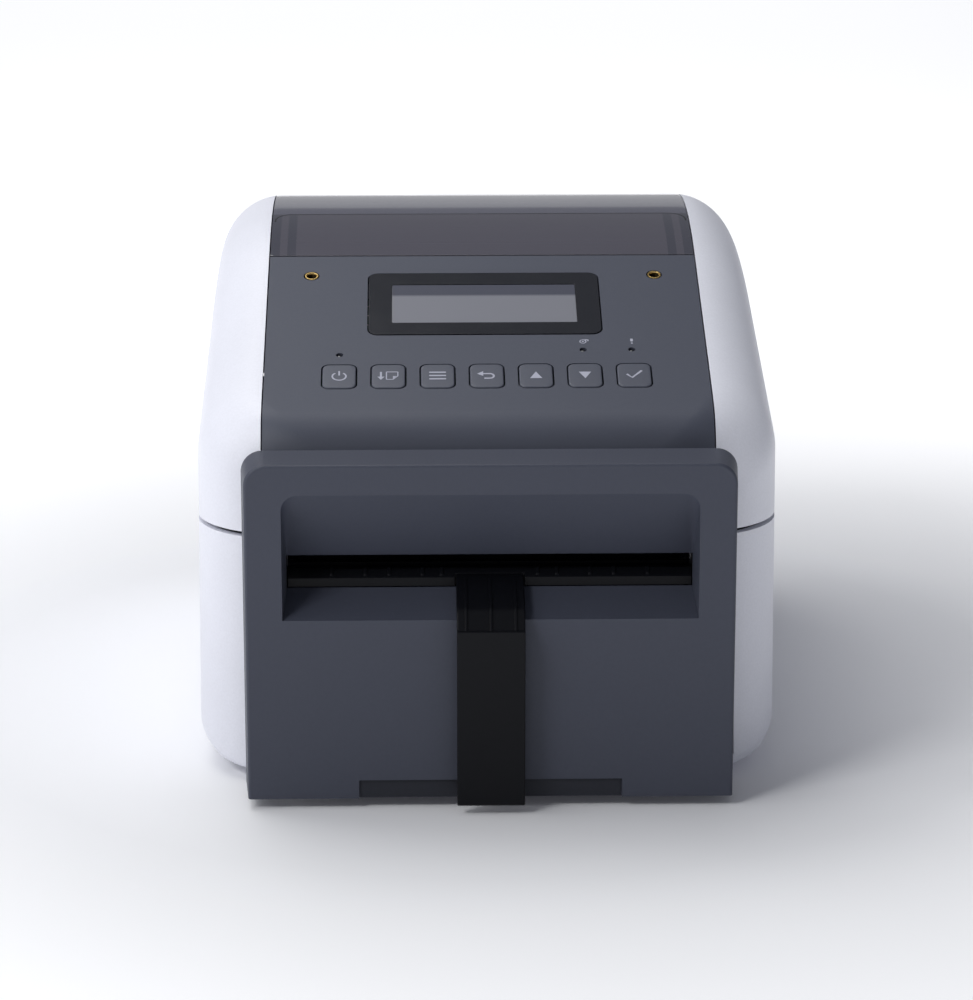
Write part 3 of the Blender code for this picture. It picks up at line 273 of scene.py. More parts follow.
def moulded(name, colour, roughness, grain_mm, depth_mm, specular=0.5):
    """Spark-eroded plastic: fine grain, and a slow drift in tone and gloss."""
    finish = Finish(name, colour, roughness, specular_ior_level=specular)
    grain = finish.noise(grain_mm, 4.0)
    drift = finish.noise(38.0, 2.0)
    speck = finish.noise(grain_mm * 2.4, 2.0)
    finish.tone((0.55 * speck + 0.45 * drift).clamped(), 0.10)
    finish.put("Roughness", roughness + 0.10 * (drift - 0.5) + 0.12 * (grain - 0.5))
    finish.relief(grain, depth_mm)
    return finish


# %% [markdown]
# ## The plastics
# The case is a satin white with a breath of lavender. The panel and the cutter hood are two tones
# of the same blue-grey, the hood with the coarser grain. The slot's ramp and its tongue are plain
# black with a slight sheen.

# %% Plastics
white = moulded("white_satin_plastic", (0.80, 0.81, 0.885), 0.42, 0.30, 0.006)
panel_grey = moulded("panel_blue_grey", (0.068, 0.075, 0.102), 0.50, 0.42, 0.020, 0.3)
key_grey = moulded("key_blue_grey", (0.076, 0.083, 0.111), 0.44, 0.34, 0.012, 0.35)
hood_grey = moulded("cutter_hood_grey", (0.055, 0.061, 0.086), 0.50, 0.55, 0.030, 0.35)
black = moulded("satin_black_plastic", (0.0035, 0.0039, 0.0058), 0.40, 0.30, 0.008, 0.16)
# Painted shade for the notch in the hood's lower edge.
notch_shade_finish = moulded("painted_notch_shade", (0.020, 0.022, 0.031), 0.55, 0.55, 0.030, 0.3)
inner_grey = moulded("charcoal_inner_plastic", (0.040, 0.042, 0.050), 0.55, 0.60, 0.025)
lever_grey = moulded("lever_grey_plastic", (0.150, 0.158, 0.185), 0.45, 0.35, 0.012)
nylon = moulded("natural_nylon", (0.74, 0.73, 0.68), 0.40, 0.80, 0.010)

# %% [markdown]
# ## Rubber
# The feet are dull moulded rubber. The platen is ground rubber, so its marks run round it.

# %% Rubber
rubber = moulded("dull_black_rubber", (0.018, 0.018, 0.019), 0.82, 0.50, 0.040)
platen_rubber = Finish("ground_platen_rubber", (0.050, 0.051, 0.056), 0.72)
rings = platen_rubber.noise(0.5, 3.0, (1.0, 0.02, 0.02))
platen_rubber.tone(rings, 0.14)
platen_rubber.put("Roughness", 0.66 + 0.14 * rings)
platen_rubber.relief(rings, 0.020)

# %% [markdown]
# ## Metals
# Folded sheet has a rolled grain along the sheet, shafts and inserts are turned, and the motor
# cans are drawn steel. Each is the same idea with the noise stretched another way. The head and
# the cutter's frame are blackened, so they stay dark behind the slot.

# %% Metals
def drawn_metal(name, colour, roughness, stretch, size_mm=0.5, depth_mm=0.004):
    """Metal with fine lines that run the way its noise is stretched."""
    finish = Finish(name, colour, roughness, metallic=1.0)
    lines = finish.noise(size_mm, 5.0, stretch)
    bloom = finish.noise(22.0, 3.0)
    finish.tone((0.6 * lines + 0.4 * bloom).clamped(), 0.12)
    finish.put("Roughness", roughness + 0.16 * (lines - 0.5) + 0.14 * (bloom - 0.5))
    finish.relief(lines, depth_mm)
    return finish


sheet_steel = drawn_metal("zinc_plated_sheet", (0.60, 0.61, 0.63), 0.36, (0.04, 1.0, 1.0))
turned_steel = drawn_metal("ground_shaft_steel", (0.62, 0.63, 0.65), 0.24, (1.0, 0.05, 0.05))
dark_steel = moulded("black_oxide_steel", (0.006, 0.006, 0.008), 0.48, 0.40, 0.006, 0.15)
blade_steel = drawn_metal("hardened_blade_steel", (0.66, 0.67, 0.70), 0.18, (1.0, 1.0, 0.04), 0.3)
socket_steel = drawn_metal("tinned_socket_shell", (0.68, 0.69, 0.71), 0.26, (1.0, 0.1, 1.0), 0.6)
brass = drawn_metal("turned_brass", (0.52, 0.36, 0.14), 0.34, (1.0, 0.2, 1.0), 0.2)

# %% [markdown]
# ## Smoked window, glossy bezel and display
# The window is smoked plastic, a little paler behind its moulded line. At the crown it is seen
# edge-on and mirrors the pale room, which the shader's own Fresnel term gives. The ribs moulded
# under it show as darker bars at both ends. The bezel is polished black, and the unlit display
# behind it is a cool grey whose upper band is a painted reflection, a darker colour blended in by
# position.

# %% Glossy finishes
PANEL_SLOPE = math.radians(21.0)
CREASE_Y = FRONT + 125.0
smoke = Finish("smoked_window", (0.078, 0.076, 0.094), 0.09,
               coat_weight=0.5, coat_roughness=0.05)
across = abs(smoke.along("X"))
behind = smoke.along("Y") > CREASE_Y
rib = (across > 60.4) * (across < 63.2) + (across > 65.6)
shade = ((1.0 - behind) * rib).clamped()
tint = smoke.mix(behind, (0.092, 0.088, 0.112), (0.112, 0.112, 0.150))
smoke.put("Base Color", smoke.mix(0.62 * shade, tint, (0.030, 0.034, 0.050)))
smoke.put("Roughness", 0.10 + 0.06 * smoke.noise(30.0, 2.0))
smoke.put("Alpha", 0.90 + 0.10 * shade)

gloss_black = Finish("polished_black_bezel", (0.010, 0.011, 0.016), 0.12,
                     coat_weight=0.2, coat_roughness=0.04)
gloss_black.put("Roughness", 0.12 + 0.07 * gloss_black.noise(9.0, 3.0))

display = Finish("unlit_display", (0.185, 0.190, 0.225), 0.16,
                 coat_weight=0.7, coat_roughness=0.05)
SCREEN_LOW, SCREEN_HIGH = limits("display_module")
# Painted reflection: above this line across the screen the colour blends into a darker band.
painted_reflection_edge = SCREEN_LOW.y + 0.60 * (SCREEN_HIGH.y - SCREEN_LOW.y)
height = (display.along("Y") - (painted_reflection_edge - 0.6)) / 1.2
cells = display.phase("X", 0.45).wave() * display.phase("Y", 0.42).wave()
plain = display.mix((0.5 + 0.10 * cells).clamped(), (0.180, 0.185, 0.215), (0.260, 0.265, 0.300))
# The last colour here is the dark band of the painted reflection.
display.put("Base Color", display.mix(height.clamped(), plain, (0.066, 0.070, 0.098)))
display.put("Roughness", 0.16 + 0.05 * display.noise(4.0, 3.0))

lamp_lens = Finish("dark_lamp_lens", (0.020, 0.021, 0.026), 0.14, coat_weight=0.4)
lamp_lens.tone(lamp_lens.noise(0.7), 0.3)
print_ink = Finish("pale_printed_ink", (0.42, 0.43, 0.52), 0.55)
print_ink.tone(print_ink.noise(0.25, 3.0), 0.08)
shadow_gap = Finish("gap_shadow", (0.010, 0.011, 0.015), 0.7)
shadow_gap.tone(shadow_gap.noise(2.0), 0.2)

# %% [markdown]
# ## Circuit boards
# A board is green solder mask over copper. The tracks are a fine right-angled pattern that lifts
# the tone slightly, and the pads break through as small tinned dots.

# %% Circuit board finish
solder_mask = Finish("green_solder_mask", (0.018, 0.130, 0.055), 0.34, coat_weight=0.3)
PIN_PITCH = 2.54
run_x = (solder_mask.phase("X", PIN_PITCH) + 6.0 * solder_mask.noise(14.0, 1.0)).wave() > 0.55
run_y = (solder_mask.phase("Y", PIN_PITCH) + 6.0 * solder_mask.noise(11.0, 1.0)).wave() > 0.75
tracks = (run_x * (solder_mask.noise(9.0, 1.0) > 0.5)
          + run_y * (solder_mask.noise(8.0, 1.0) > 0.52)).clamped()
pad_rows = [solder_mask.phase(axis, 2 * PIN_PITCH).wave() for axis in "XY"]
pads = pad_rows[0] * pad_rows[1] > 0.93
solder_mask.put("Base Color", solder_mask.mix(pads, solder_mask.mix(
    tracks, (0.014, 0.105, 0.045), (0.030, 0.190, 0.085)), (0.62, 0.62, 0.60)))
solder_mask.put("Metallic", pads * 1.0)
solder_mask.relief(tracks + pads, 0.03)

# %% [markdown]
# ## The floor
# The floor is almost white, and further out it gives off a little light of its own, so it runs
# on into the pale room without a horizon.

# %% Floor finish
floor_finish = Finish("pale_floor", (0.90, 0.905, 0.92), 0.6)
floor_finish.tone(floor_finish.noise(400.0, 2.0), 0.01)
far = floor_finish.node("ShaderNodeVectorMath", {"operation": "LENGTH"},
                        {0: floor_finish.place}, out="Value")
GLOW_START, GLOW_RAMP = 0.18, 0.35
glow = ((far - GLOW_START) / GLOW_RAMP).clamped()
floor_finish.put("Emission Color", floor_finish.mix(glow, (0.03, 0.03, 0.035), (0.70, 0.70, 0.71)))
floor_finish.put("Emission Strength", 1.0)
floor_mesh.materials.append(floor_finish.look)
print("finishes:", len([m for m in bpy.data.materials if m.use_nodes]))

# %% [markdown]
# ## Outlines
# Nearly every moulding here is a flat outline given a thickness, or a row of outlines joined into
# a skin. Arcs are stepped finely, because this is the model that is looked at.

# %% Outline helpers
def arc(centre, radius, start, end, step=5.0):
    """Points on an arc, with its angles in degrees."""
    count = max(1, math.ceil(abs(end - start) / step))
    angles = [math.radians(start + (end - start) * i / count) for i in range(count + 1)]
    return [(centre[0] + radius * math.cos(a), centre[1] + radius * math.sin(a)) for a in angles]


FILLET_STEP = 10.0


def rounded(*corners):
    """A closed outline through corners (u, v, radius), with each corner filleted."""
    points = []
    for i, (u, v, radius) in enumerate(corners):
        here = Vector((u, v))
        back = (Vector(corners[i - 1][:2]) - here).normalized()
        ahead = (Vector(corners[(i + 1) % len(corners)][:2]) - here).normalized()
        if radius <= 0:
            points.append((u, v))
            continue
        half = back.angle(ahead) / 2
        centre = here + (back + ahead).normalized() * (radius / math.sin(half))
        first = here + back * (radius / math.tan(half)) - centre
        last = here + ahead * (radius / math.tan(half)) - centre
        turn = first.angle_signed(last)
        count = max(1, math.ceil(abs(math.degrees(turn)) / FILLET_STEP - 0.001))
        for k in range(count + 1):
            spoke = first.copy()
            spoke.rotate(Matrix.Rotation(-turn * k / count, 2))
            points.append(tuple(centre + spoke))
    return points


def slab(u, v, radius=0.0):
    """A rectangle outline between u[0]..u[1] and v[0]..v[1], with rounded corners."""
    (left, right), (low, high) = u, v
    return rounded(*[(*corner, radius) for corner in (
        (left, low), (right, low), (right, high), (left, high))])


def mirrored(points):
    """Points followed by their mirror image, so that they close an outline."""
    return points + [(-u, v) for u, v in reversed(points)]


def disc(centre, radius, sides=48):
    """A circle's outline."""
    return arc(centre, radius, 0.0, 360.0, 360.0 / sides)[:-1]


def direction(points, i):
    """The way a line runs at its point i."""
    before, after = points[max(i - 1, 0)], points[min(i + 1, len(points) - 1)]
    return (Vector(after) - Vector(before)).normalized()


def stroke(points, width):
    """The outline of a line of even width along points."""
    left, right = [], []
    for i, point in enumerate(points):
        run = direction(points, i)
        side = Vector((-run.y, run.x)) * width / 2
        left.append(tuple(Vector(point) + side))
        right.append(tuple(Vector(point) - side))
    return left + right[::-1]


ALONG_X = Matrix(((0, 0, 1, 0), (1, 0, 0, 0), (0, 1, 0, 0), (0, 0, 0, 1)))
ALONG_Y = Matrix(((1, 0, 0, 0), (0, 0, 1, 0), (0, 1, 0, 0), (0, 0, 0, 1)))
ALONG_Z = Matrix.Identity(4)

# %% [markdown]
# ## Solids and how they are finished off
# Cuts are made with Boolean modifiers and kept as plain meshes, so no hidden cutter is left in the
# scene. A Bevel rounds every sharp edge, because a moulded edge always catches a thin line of
# light, and weighted normals keep the broad faces flat up to that line.

# %% Solid helpers
def settle(thing):
    """Keep what the modifiers show as the object's own mesh."""
    graph = bpy.context.evaluated_depsgraph_get()
    shown = bpy.data.meshes.new_from_object(thing.evaluated_get(graph))
    old = thing.data
    thing.modifiers.clear()
    thing.data = shown
    bpy.data.meshes.remove(old)
    return thing


def from_bmesh(bm):
    """Turn a bmesh in millimetres into an object in metres, its faces pointing out."""
    bm.normal_update()
    bmesh.ops.recalc_face_normals(bm, faces=bm.faces)
    bmesh.ops.scale(bm, vec=(MM, MM, MM), verts=bm.verts)
    mesh = bpy.data.meshes.new("part")
    bm.to_mesh(mesh)
    bm.free()
    return add("part", mesh)


def duplicate(thing):
    """A copy of an object with a mesh of its own."""
    copy = thing.copy()
    copy.data = thing.data.copy()
    scene.collection.objects.link(copy)
    return copy


def box(x, y, z):
    """A block between three pairs of limits."""
    bm = bmesh.new()
    bmesh.ops.create_cube(bm, size=1.0)
    bmesh.ops.scale(bm, vec=[side[1] - side[0] for side in (x, y, z)], verts=bm.verts)
    bmesh.ops.translate(bm, vec=[(side[0] + side[1]) / 2 for side in (x, y, z)], verts=bm.verts)
    return from_bmesh(bm)


def prism(frame_of, start, end, *outlines):
    """Flat outlines extruded along the frame's third axis; an inner one is a hole."""
    curve = bpy.data.curves.new("outline", "CURVE")
    curve.dimensions = "2D"
    curve.fill_mode = "BOTH"
    curve.extrude = (end - start) / 2
    for points in outlines:
        spline = curve.splines.new("POLY")
        spline.points.add(len(points) - 1)
        spline.use_cyclic_u = True
        for point, (u, v) in zip(spline.points, points):
            point.co = (u, v, 0.0, 1.0)
    holder = add("outline", curve)
    graph = bpy.context.evaluated_depsgraph_get()
    flat = bpy.data.meshes.new_from_object(holder.evaluated_get(graph))
    bpy.data.objects.remove(holder)
    bm = bmesh.new()
    bm.from_mesh(flat)
    bpy.data.meshes.remove(flat)
    bmesh.ops.remove_doubles(bm, verts=bm.verts, dist=0.001)
    bmesh.ops.dissolve_limit(bm, angle_limit=0.01, verts=bm.verts, edges=bm.edges)
    bmesh.ops.translate(bm, vec=(0, 0, (start + end) / 2), verts=bm.verts)
    bm.transform(frame_of)
    return from_bmesh(bm)


def loft(rings, looped=False):
    """A closed skin over rings of equal point count: capped, or looped back to the first ring."""
    bm = bmesh.new()
    rows = [[bm.verts.new(point) for point in ring] for ring in rings]
    for near, far in zip(rows, rows[1:] + rows[:looped]):
        for i in range(len(near)):
            bm.faces.new((near[i - 1], near[i], far[i], far[i - 1]))
    if not looped:
        bm.faces.new(rows[0])
        bm.faces.new(rows[-1])
    return from_bmesh(bm)


def laid(frame_of, outline, height):
    """An outline laid in a frame, at a height along its third axis."""
    return [tuple(frame_of @ Vector((*spot, height))) for spot in outline]


def turned(frame_of, profile, sides=40, looped=False):
    """A closed round skin through profile points (radius, height) about the frame's axis."""
    return loft([laid(frame_of, disc((0.0, 0.0), radius, sides), height)
                 for radius, height in profile], looped)


def rod(frame_of, centre, radius, start, end, sides=48):
    """A round bar along the frame's third axis."""
    place = frame_of @ Matrix.Translation((*centre, 0.0))
    return turned(place, [(radius, start), (radius, end)], sides)


def combine(how, target, tools):
    """Apply one Boolean operation with each tool in turn, and use the tools up."""
    for tool in tools:
        modifier = target.modifiers.new(how.lower(), "BOOLEAN")
        modifier.operation = how
        modifier.solver = "EXACT"
        modifier.object = tool
    settle(target)
    for tool in tools:
        bpy.data.objects.remove(tool)
    return target


def cut(target, *tools):
    return combine("DIFFERENCE", target, tools)


def keep(target, *tools):
    return combine("INTERSECT", target, tools)


def gather(target, *others):
    """Put more separate shells into the same object."""
    bm = bmesh.new()
    bm.from_mesh(target.data)
    for other in others:
        bm.from_mesh(other.data)
        bpy.data.objects.remove(other)
    bm.to_mesh(target.data)
    bm.free()
    return target


def shade(thing):
    """Shade the faces smooth, except across sharp edges."""
    thing.data.shade_smooth()
    thing.data.set_sharp_from_angle(angle=math.radians(40.0))


def soften(thing, radius=0.0, segments=3, sharp=28.0):
    """Round every edge sharper than an angle, and shade the rest smooth."""
    if radius > 0:
        modifier = thing.modifiers.new("edges", "BEVEL")
        modifier.width = radius * MM
        modifier.segments = segments
        modifier.limit_method = "ANGLE"
        modifier.angle_limit = math.radians(sharp)
        modifier.miter_outer = "MITER_ARC"
        settle(thing)
    shade(thing)
    thing.modifiers.new("flat_faces", "WEIGHTED_NORMAL").keep_sharp = True
    return settle(thing)


def piece(name, thing, finish, slot, body, *nodes):
    """Name a finished piece, hang it on its body and hide the solids it stands for."""
    thing.name = name
    thing.data.name = name
    thing.data.materials.clear()
    thing.data.materials.append(finish.look)
    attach(thing, body)
    if nodes:
        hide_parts(*nodes)
    return thing


# %% [markdown]
# ## The case's outer form
# One soft form is parted into the lower case, the cover, the panel and the window, so their
# surfaces run on from one to the next. It is a row of cross-sections: the side profile gives each
# one its height, a plan outline gives its width, and the long upper edges are generously rounded.

# %% Case form
WALL = 2.6
GAP = 0.4
FRONT_CORNER = 28.0
REAR_CORNER = 24.0
SIDE_ROUNDING = 20.0
BASE_ROUNDING = 11.0
BASE_ROUNDING_FRONT = 3.5
SIDE_LEAN = 0.06
LEAN_START = 88.0
NOSE_RADIUS = 19.5
CROWN_RADIUS = 134.0
REAR_RADIUS = 22.0
REAR_SLOPE = math.radians(11.0)
CROWN = (FRONT + 143.0, TOP - CROWN_RADIUS)


def slope_height(y):
    """Height of the panel's plane, which meets the crown's arc tangentially."""
    touch_y = CROWN[0] - CROWN_RADIUS * math.sin(PANEL_SLOPE)
    touch_z = CROWN[1] + CROWN_RADIUS * math.cos(PANEL_SLOPE)
    return touch_z + (y - touch_y) * math.tan(PANEL_SLOPE)


def roof_line(inset):
    """The side profile from the front face over the crown to the rear face."""
    slope = math.degrees(PANEL_SLOPE)
    fall = math.degrees(REAR_SLOPE)
    nose_y = FRONT + NOSE_RADIUS
    nose = (nose_y, slope_height(nose_y) - NOSE_RADIUS / math.cos(PANEL_SLOPE))
    rear_y = REAR - REAR_RADIUS
    touch_y = CROWN[0] + CROWN_RADIUS * math.sin(REAR_SLOPE)
    touch_z = CROWN[1] + CROWN_RADIUS * math.cos(REAR_SLOPE)
    roof = touch_z - (rear_y - touch_y) * math.tan(REAR_SLOPE)
    rear = (rear_y, roof - REAR_RADIUS / math.cos(REAR_SLOPE))
    line = arc(nose, NOSE_RADIUS - inset, 180.0, 90.0 + slope, 3.0)
    line += arc(CROWN, CROWN_RADIUS - inset, 90.0 + slope, 90.0 - fall, 1.0)
    return line + arc(rear, REAR_RADIUS - inset, 90.0 - fall, 0.0, 4.0)


def height_at(line, y):
    """The height of a side profile at y."""
    for (y0, z0), (y1, z1) in zip(line, line[1:]):
        if y0 <= y <= y1:
            return z0 + (z1 - z0) * (y - y0) / max(y1 - y0, 1e-9)
    return line[0][1] if y < line[0][0] else line[-1][1]


def half_width_at(y, inset):
    """Half the plan outline's width at y."""
    for corner, reach in ((FRONT_CORNER, FRONT + FRONT_CORNER - y),
                          (REAR_CORNER, y - (REAR - REAR_CORNER))):
        if reach > 0:
            return HALF_WIDTH - corner + math.sqrt(max((corner - inset) ** 2 - reach ** 2, 0.0))
    return HALF_WIDTH - inset


def case_ring(y, inset, line):
    """The case's cross-section at y."""
    share = min(max((y - FRONT) / FRONT_CORNER, 0.0), 1.0)
    smooth = share * share * (3.0 - 2.0 * share)
    rounding = BASE_ROUNDING_FRONT + (BASE_ROUNDING - BASE_ROUNDING_FRONT) * smooth
    half = half_width_at(y, inset)
    top = height_at(line, y)
    base = BASE + inset
    low = max(rounding - inset, 0.5)
    high = SIDE_ROUNDING - inset
    ring = arc((half - low, base + low), low, -90.0, 0.0, 9.0)
    ring += arc((half - high, top - high), high, 0.0, 90.0, 4.5)
    return [(u * (1.0 - SIDE_LEAN * max(0.0, v - LEAN_START) / HALF_WIDTH), y, v)
            for u, v in mirrored(ring)]


def case_form(inset):
    """The whole case as one solid, every wall moved in by inset."""
    line = roof_line(inset)
    front = arc((FRONT + FRONT_CORNER, 0), FRONT_CORNER - inset, 180.0, 90.0, 3.0)
    rear = arc((REAR - REAR_CORNER, 0), REAR_CORNER - inset, 90.0, 0.0, 4.0)
    stations = {round(y, 3) for y, _ in line + front + rear}
    stations = sorted(y for y in stations if FRONT + inset <= y <= REAR - inset)
    closest = 0.25
    spaced = [stations[0]]
    for y in stations[1:-1]:
        if y - spaced[-1] > closest and stations[-1] - y > closest:
            spaced.append(y)
    spaced.append(stations[-1])
    return loft([case_ring(y, inset, line) for y in spaced])


FAR = 200.0
EVERY = (-FAR, FAR)
SEAM_GAP = 1.5
CASE_TOP = SEAM - SEAM_GAP / 2
COVER_BASE = SEAM + SEAM_GAP / 2
skin_form = cut(case_form(0.0), case_form(WALL))
skin_form.name = "skin_form"
print("case skin:", len(skin_form.data.polygons), "faces")

# %% [markdown]
# ## Lower case
# The white tub holds everything that doesn't lift. Its upper edge carries a thin standing lip, set
# in from the wall, that closes the view through the seam and guides the cover down, and a black
# sill covers the wall's edge under the slot. The rear has the socket openings and the outer hinge
# knuckles, and each side has the release lever's pocket.

# %% Lower case
SOCKETS = ("dc_inlet", "usb_socket", "usb_host_socket", "lan_socket", "serial_socket")
SLOT_LOW, SLOT_HIGH = limits("slot_guide")
SLOT_HALF = SLOT_HIGH.x + 0.3
RAMP_TOP = SLOT_HIGH.z
HINGE_MIDDLES = (-50.0, 50.0)
KNUCKLE = 12.0
PIN_RADIUS = 1.5
CASE_EDGE = 0.45


def knuckle_spans(middle):
    """The cover's knuckle, and the two case knuckles that hold it."""
    half = KNUCKLE / 2
    low, high = middle - half, middle + half
    return (low, high), ((low - GAP - half, low - GAP), (high + GAP, high + GAP + half))


def knuckle(span):
    """One hinge knuckle, bored for the pin."""
    outlines = disc(HINGE, HINGE_BARREL), disc(HINGE, PIN_RADIUS, 24)
    return soften(prism(ALONG_X, *span, *outlines), 0.3)


BASE_HALF = HALF_WIDTH - BASE_ROUNDING - 3.0
BASE_INSET = 14.0
POCKET_HALF = (8.5, 12.0)
lip = cut(case_form(WALL + 0.5), case_form(WALL + 1.6))
keep(lip, box(EVERY, (FRONT, REAR - 14.0), (CASE_TOP - 3.5, COVER_BASE + 1.8)))
cut(lip, box((-SLOT_HALF - 1.0, SLOT_HALF + 1.0), (FRONT - 1.0, FRONT + 8.0), (0.0, FAR)))
lower = cut(
    duplicate(skin_form),
    box(EVERY, EVERY, (CASE_TOP, FAR)),
    prism(ALONG_Z, -1.0, BASE + WALL + 1.0, slab(
        (-BASE_HALF, BASE_HALF), (FRONT + BASE_INSET, REAR - BASE_INSET), BASE_INSET)),
    box((-SLOT_HALF, SLOT_HALF), (FRONT - 1.0, FRONT + WALL + 1.0), (RAMP_TOP, FAR)),
    box(EVERY, (REAR - 4.0, REAR + 1.0), (CASE_TOP - 1.2, FAR)),
)
for name in SOCKETS:
    low, high = limits(name)
    cut(lower, prism(ALONG_Y, REAR - WALL - 1.0, REAR + 1.0, slab(
        (low.x - GAP, high.x + GAP), (low.z - GAP, high.z + GAP), 0.8)))
for side in (-1, 1):
    wall_x = sorted((side * (HALF_WIDTH - WALL - 2.0), side * (HALF_WIDTH + 1.0)))
    cut(lower, prism(ALONG_X, *wall_x, slab(
        *[(middle - half, middle + half) for middle, half in zip(LATCH, POCKET_HALF)], 3.0)))
soften(lower, CASE_EDGE)
gather(lower, *[knuckle(span) for middle in HINGE_MIDDLES for span in knuckle_spans(middle)[1]])
shade(lower)
piece("white_lower_case", lower, white, "white_plastic", "printer_base", "lower_case")
# The lip carries painted shadow, so the seam reads as a dark gap.
piece("dark_seam_lip", soften(lip), shadow_gap, "black_plastic", "printer_base")
sill_outline = ((-0.35, -4.0), (-0.35, 0.12), (WALL + 0.35, 0.12), (WALL + 0.35, -4.0),
                (WALL + 0.1, -4.0), (WALL + 0.1, 0.02), (-0.1, 0.02), (-0.1, -4.0))
sill = prism(ALONG_X, -SLOT_HALF + 0.1, SLOT_HALF - 0.1,
             [(FRONT + u, RAMP_TOP + v) for u, v in sill_outline])
piece("black_slot_sill", soften(sill), black, "black_plastic", "printer_base")

# %% [markdown]
# ## Cover
# Both white cheeks and the rear are one moulding, open along the middle for the panel and the
# window. Its edges are rounded like the lower case's, so the seam reads as one clean dark line.

# %% Cover
PANEL_HIGH = limits("control_panel")[1]
WINDOW_LOW, WINDOW_HIGH = limits("cover_window")
STRIP_HALF = PANEL_HIGH.x + GAP
cover = cut(
    duplicate(skin_form),
    box(EVERY, EVERY, (-1.0, COVER_BASE)),
    box((-STRIP_HALF, STRIP_HALF), (FRONT - 1.0, WINDOW_HIGH.y + GAP), (0.0, FAR)),
)
for middle in HINGE_MIDDLES:
    for low, high in knuckle_spans(middle)[1]:
        cut(cover, rod(ALONG_X, HINGE, HINGE_BARREL + GAP, low - GAP / 2, high + GAP / 2))
soften(cover, CASE_EDGE)
gather(cover, *[knuckle(knuckle_spans(middle)[0]) for middle in HINGE_MIDDLES])
shade(cover)
piece("white_cover", cover, white, "white_plastic", "cover", "upper_cover")

# %% [markdown]
# ## Control panel
# The panel is cut from the same skin with a narrow gap all round. Its openings are drawn on a
# frame that lies on the slope: u runs across, v runs up the slope. Keys, lamps and display take
# their places from the same frame, so each sits in the middle of its opening.

# %% Control panel
def on_slope(setback):
    """A frame on the panel's surface: x across, y up the slope, z out of the panel."""
    y = FRONT + setback
    return Matrix.Translation((0.0, y, slope_height(y))) @ Matrix.Rotation(PANEL_SLOPE, 4, "X")


KEYS = ("power", "feed", "menu", "back", "up", "down", "ok")
KEY_PITCH = 15.16
KEY_SIZE = (11.2, 13.7)
KEY_CORNER = 2.6
KEY_ROW = on_slope(28.9)
BEZEL_SIZE = (74.0, 36.3)
BEZEL_CORNER = 3.5
BEZEL_PLACE = on_slope(67.3)
LAMPS = (("lamp_power", 0, 40.2), ("lamp_status", 5, 42.4), ("lamp_alert", 6, 42.4))
LAMP_RADIUS = 1.15
INSERT_X = 55.0
INSERT_PLACE = on_slope(82.9)
INSERT_RADIUS = 2.25


def key_x(index):
    """A key's place across the row."""
    return (index - (len(KEYS) - 1) / 2) * KEY_PITCH


def centred(size, inset, corner, x=0.0):
    """A rounded rectangle outline about (x, 0), drawn in by inset."""
    half_u, half_v = size[0] / 2 - inset, size[1] / 2 - inset
    return slab((x - half_u, x + half_u), (-half_v, half_v), max(corner - inset, 0.05))


panel = keep(duplicate(skin_form), box(
    (-PANEL_HIGH.x, PANEL_HIGH.x), (FRONT - 1.0, PANEL_HIGH.y), (COVER_BASE, FAR)))
THROUGH = (-2 * WALL, 2 * WALL)
openings = [(KEY_ROW, centred(KEY_SIZE, 0.0, KEY_CORNER, key_x(i))) for i in range(len(KEYS))]
openings.append((BEZEL_PLACE, centred(BEZEL_SIZE, 0.0, BEZEL_CORNER)))
openings += [(on_slope(setback), disc((key_x(i), 0.0), LAMP_RADIUS, 24)) for _, i, setback in LAMPS]
openings += [(INSERT_PLACE, disc((x, 0.0), INSERT_RADIUS + 0.3, 32)) for x in (-INSERT_X, INSERT_X)]
cut(panel, *[prism(place, *THROUGH, outline) for place, outline in openings])
soften(panel, 0.22, 2)
piece("blue_grey_panel", panel, panel_grey, "panel_grey", "cover", "control_panel")

# %% [markdown]
# ## Window
# The smoked window carries the panel's surface on over the crown. A fine moulded line crosses it
# where the flat part ends, and turns forward at both ends.

# %% Window and its moulded line
window = keep(duplicate(skin_form), box(
    (-WINDOW_HIGH.x, WINDOW_HIGH.x), (WINDOW_LOW.y + 0.35, WINDOW_HIGH.y), (COVER_BASE, FAR)))
soften(window, 0.25, 2)
piece("smoked_cover_window", window, smoke, "smoke_window", "cover", "cover_window")

ROOF = roof_line(0.0)
LINE_HALF = WINDOW_HIGH.x - 0.9
LINE_TURN = 6.0
plan = [(-LINE_HALF, CREASE_Y - LINE_TURN - 1.0)]
plan += arc((-LINE_HALF + LINE_TURN, CREASE_Y - LINE_TURN), LINE_TURN, 180.0, 90.0, 9.0)
plan += [(x, CREASE_Y) for x in range(-60, 61, 10)]
plan += mirrored(plan[:12])[12:]
profile = [(0.24, 0.02), (0.0, 0.05), (-0.24, 0.02), (-0.24, -0.5), (0.24, -0.5)]
rows = []
for i, (x, y) in enumerate(plan):
    run = direction(plan, i)
    rows.append([(x - run.y * off, y + run.x * off, height_at(ROOF, y + run.x * off) + lift)
                 for off, lift in profile])
piece("window_moulded_line", loft(rows), shadow_gap, "smoke_window", "cover")

# %% [markdown]
# ## Keys
# Each key is a rounded block whose top edge rolls over. Its symbol is printed, so it is a film a
# few hundredths of a millimetre thick on the key's face. The symbols are plain signs: power, feed,
# list, return, up, down and accept.

# %% Keys
KEY_FACE = 0.2
FILM = 0.03


def key_body(index):
    """A key with a rolled upper edge and a faintly crowned face."""
    gap, roll = 0.4, 0.45
    rings = [(gap, -6.0), (gap, -0.3)]
    rings += [(gap + roll * (1 - math.cos(a)), KEY_FACE - roll + roll * math.sin(a))
              for a in (0.4, 0.8, 1.2, math.pi / 2)]
    rings += [(2.2, KEY_FACE + 0.03), (3.6, KEY_FACE + 0.05)]
    return soften(loft([
        laid(KEY_ROW, centred(KEY_SIZE, inset, max(KEY_CORNER, inset + 0.3), key_x(index)), lift)
        for inset, lift in rings]))


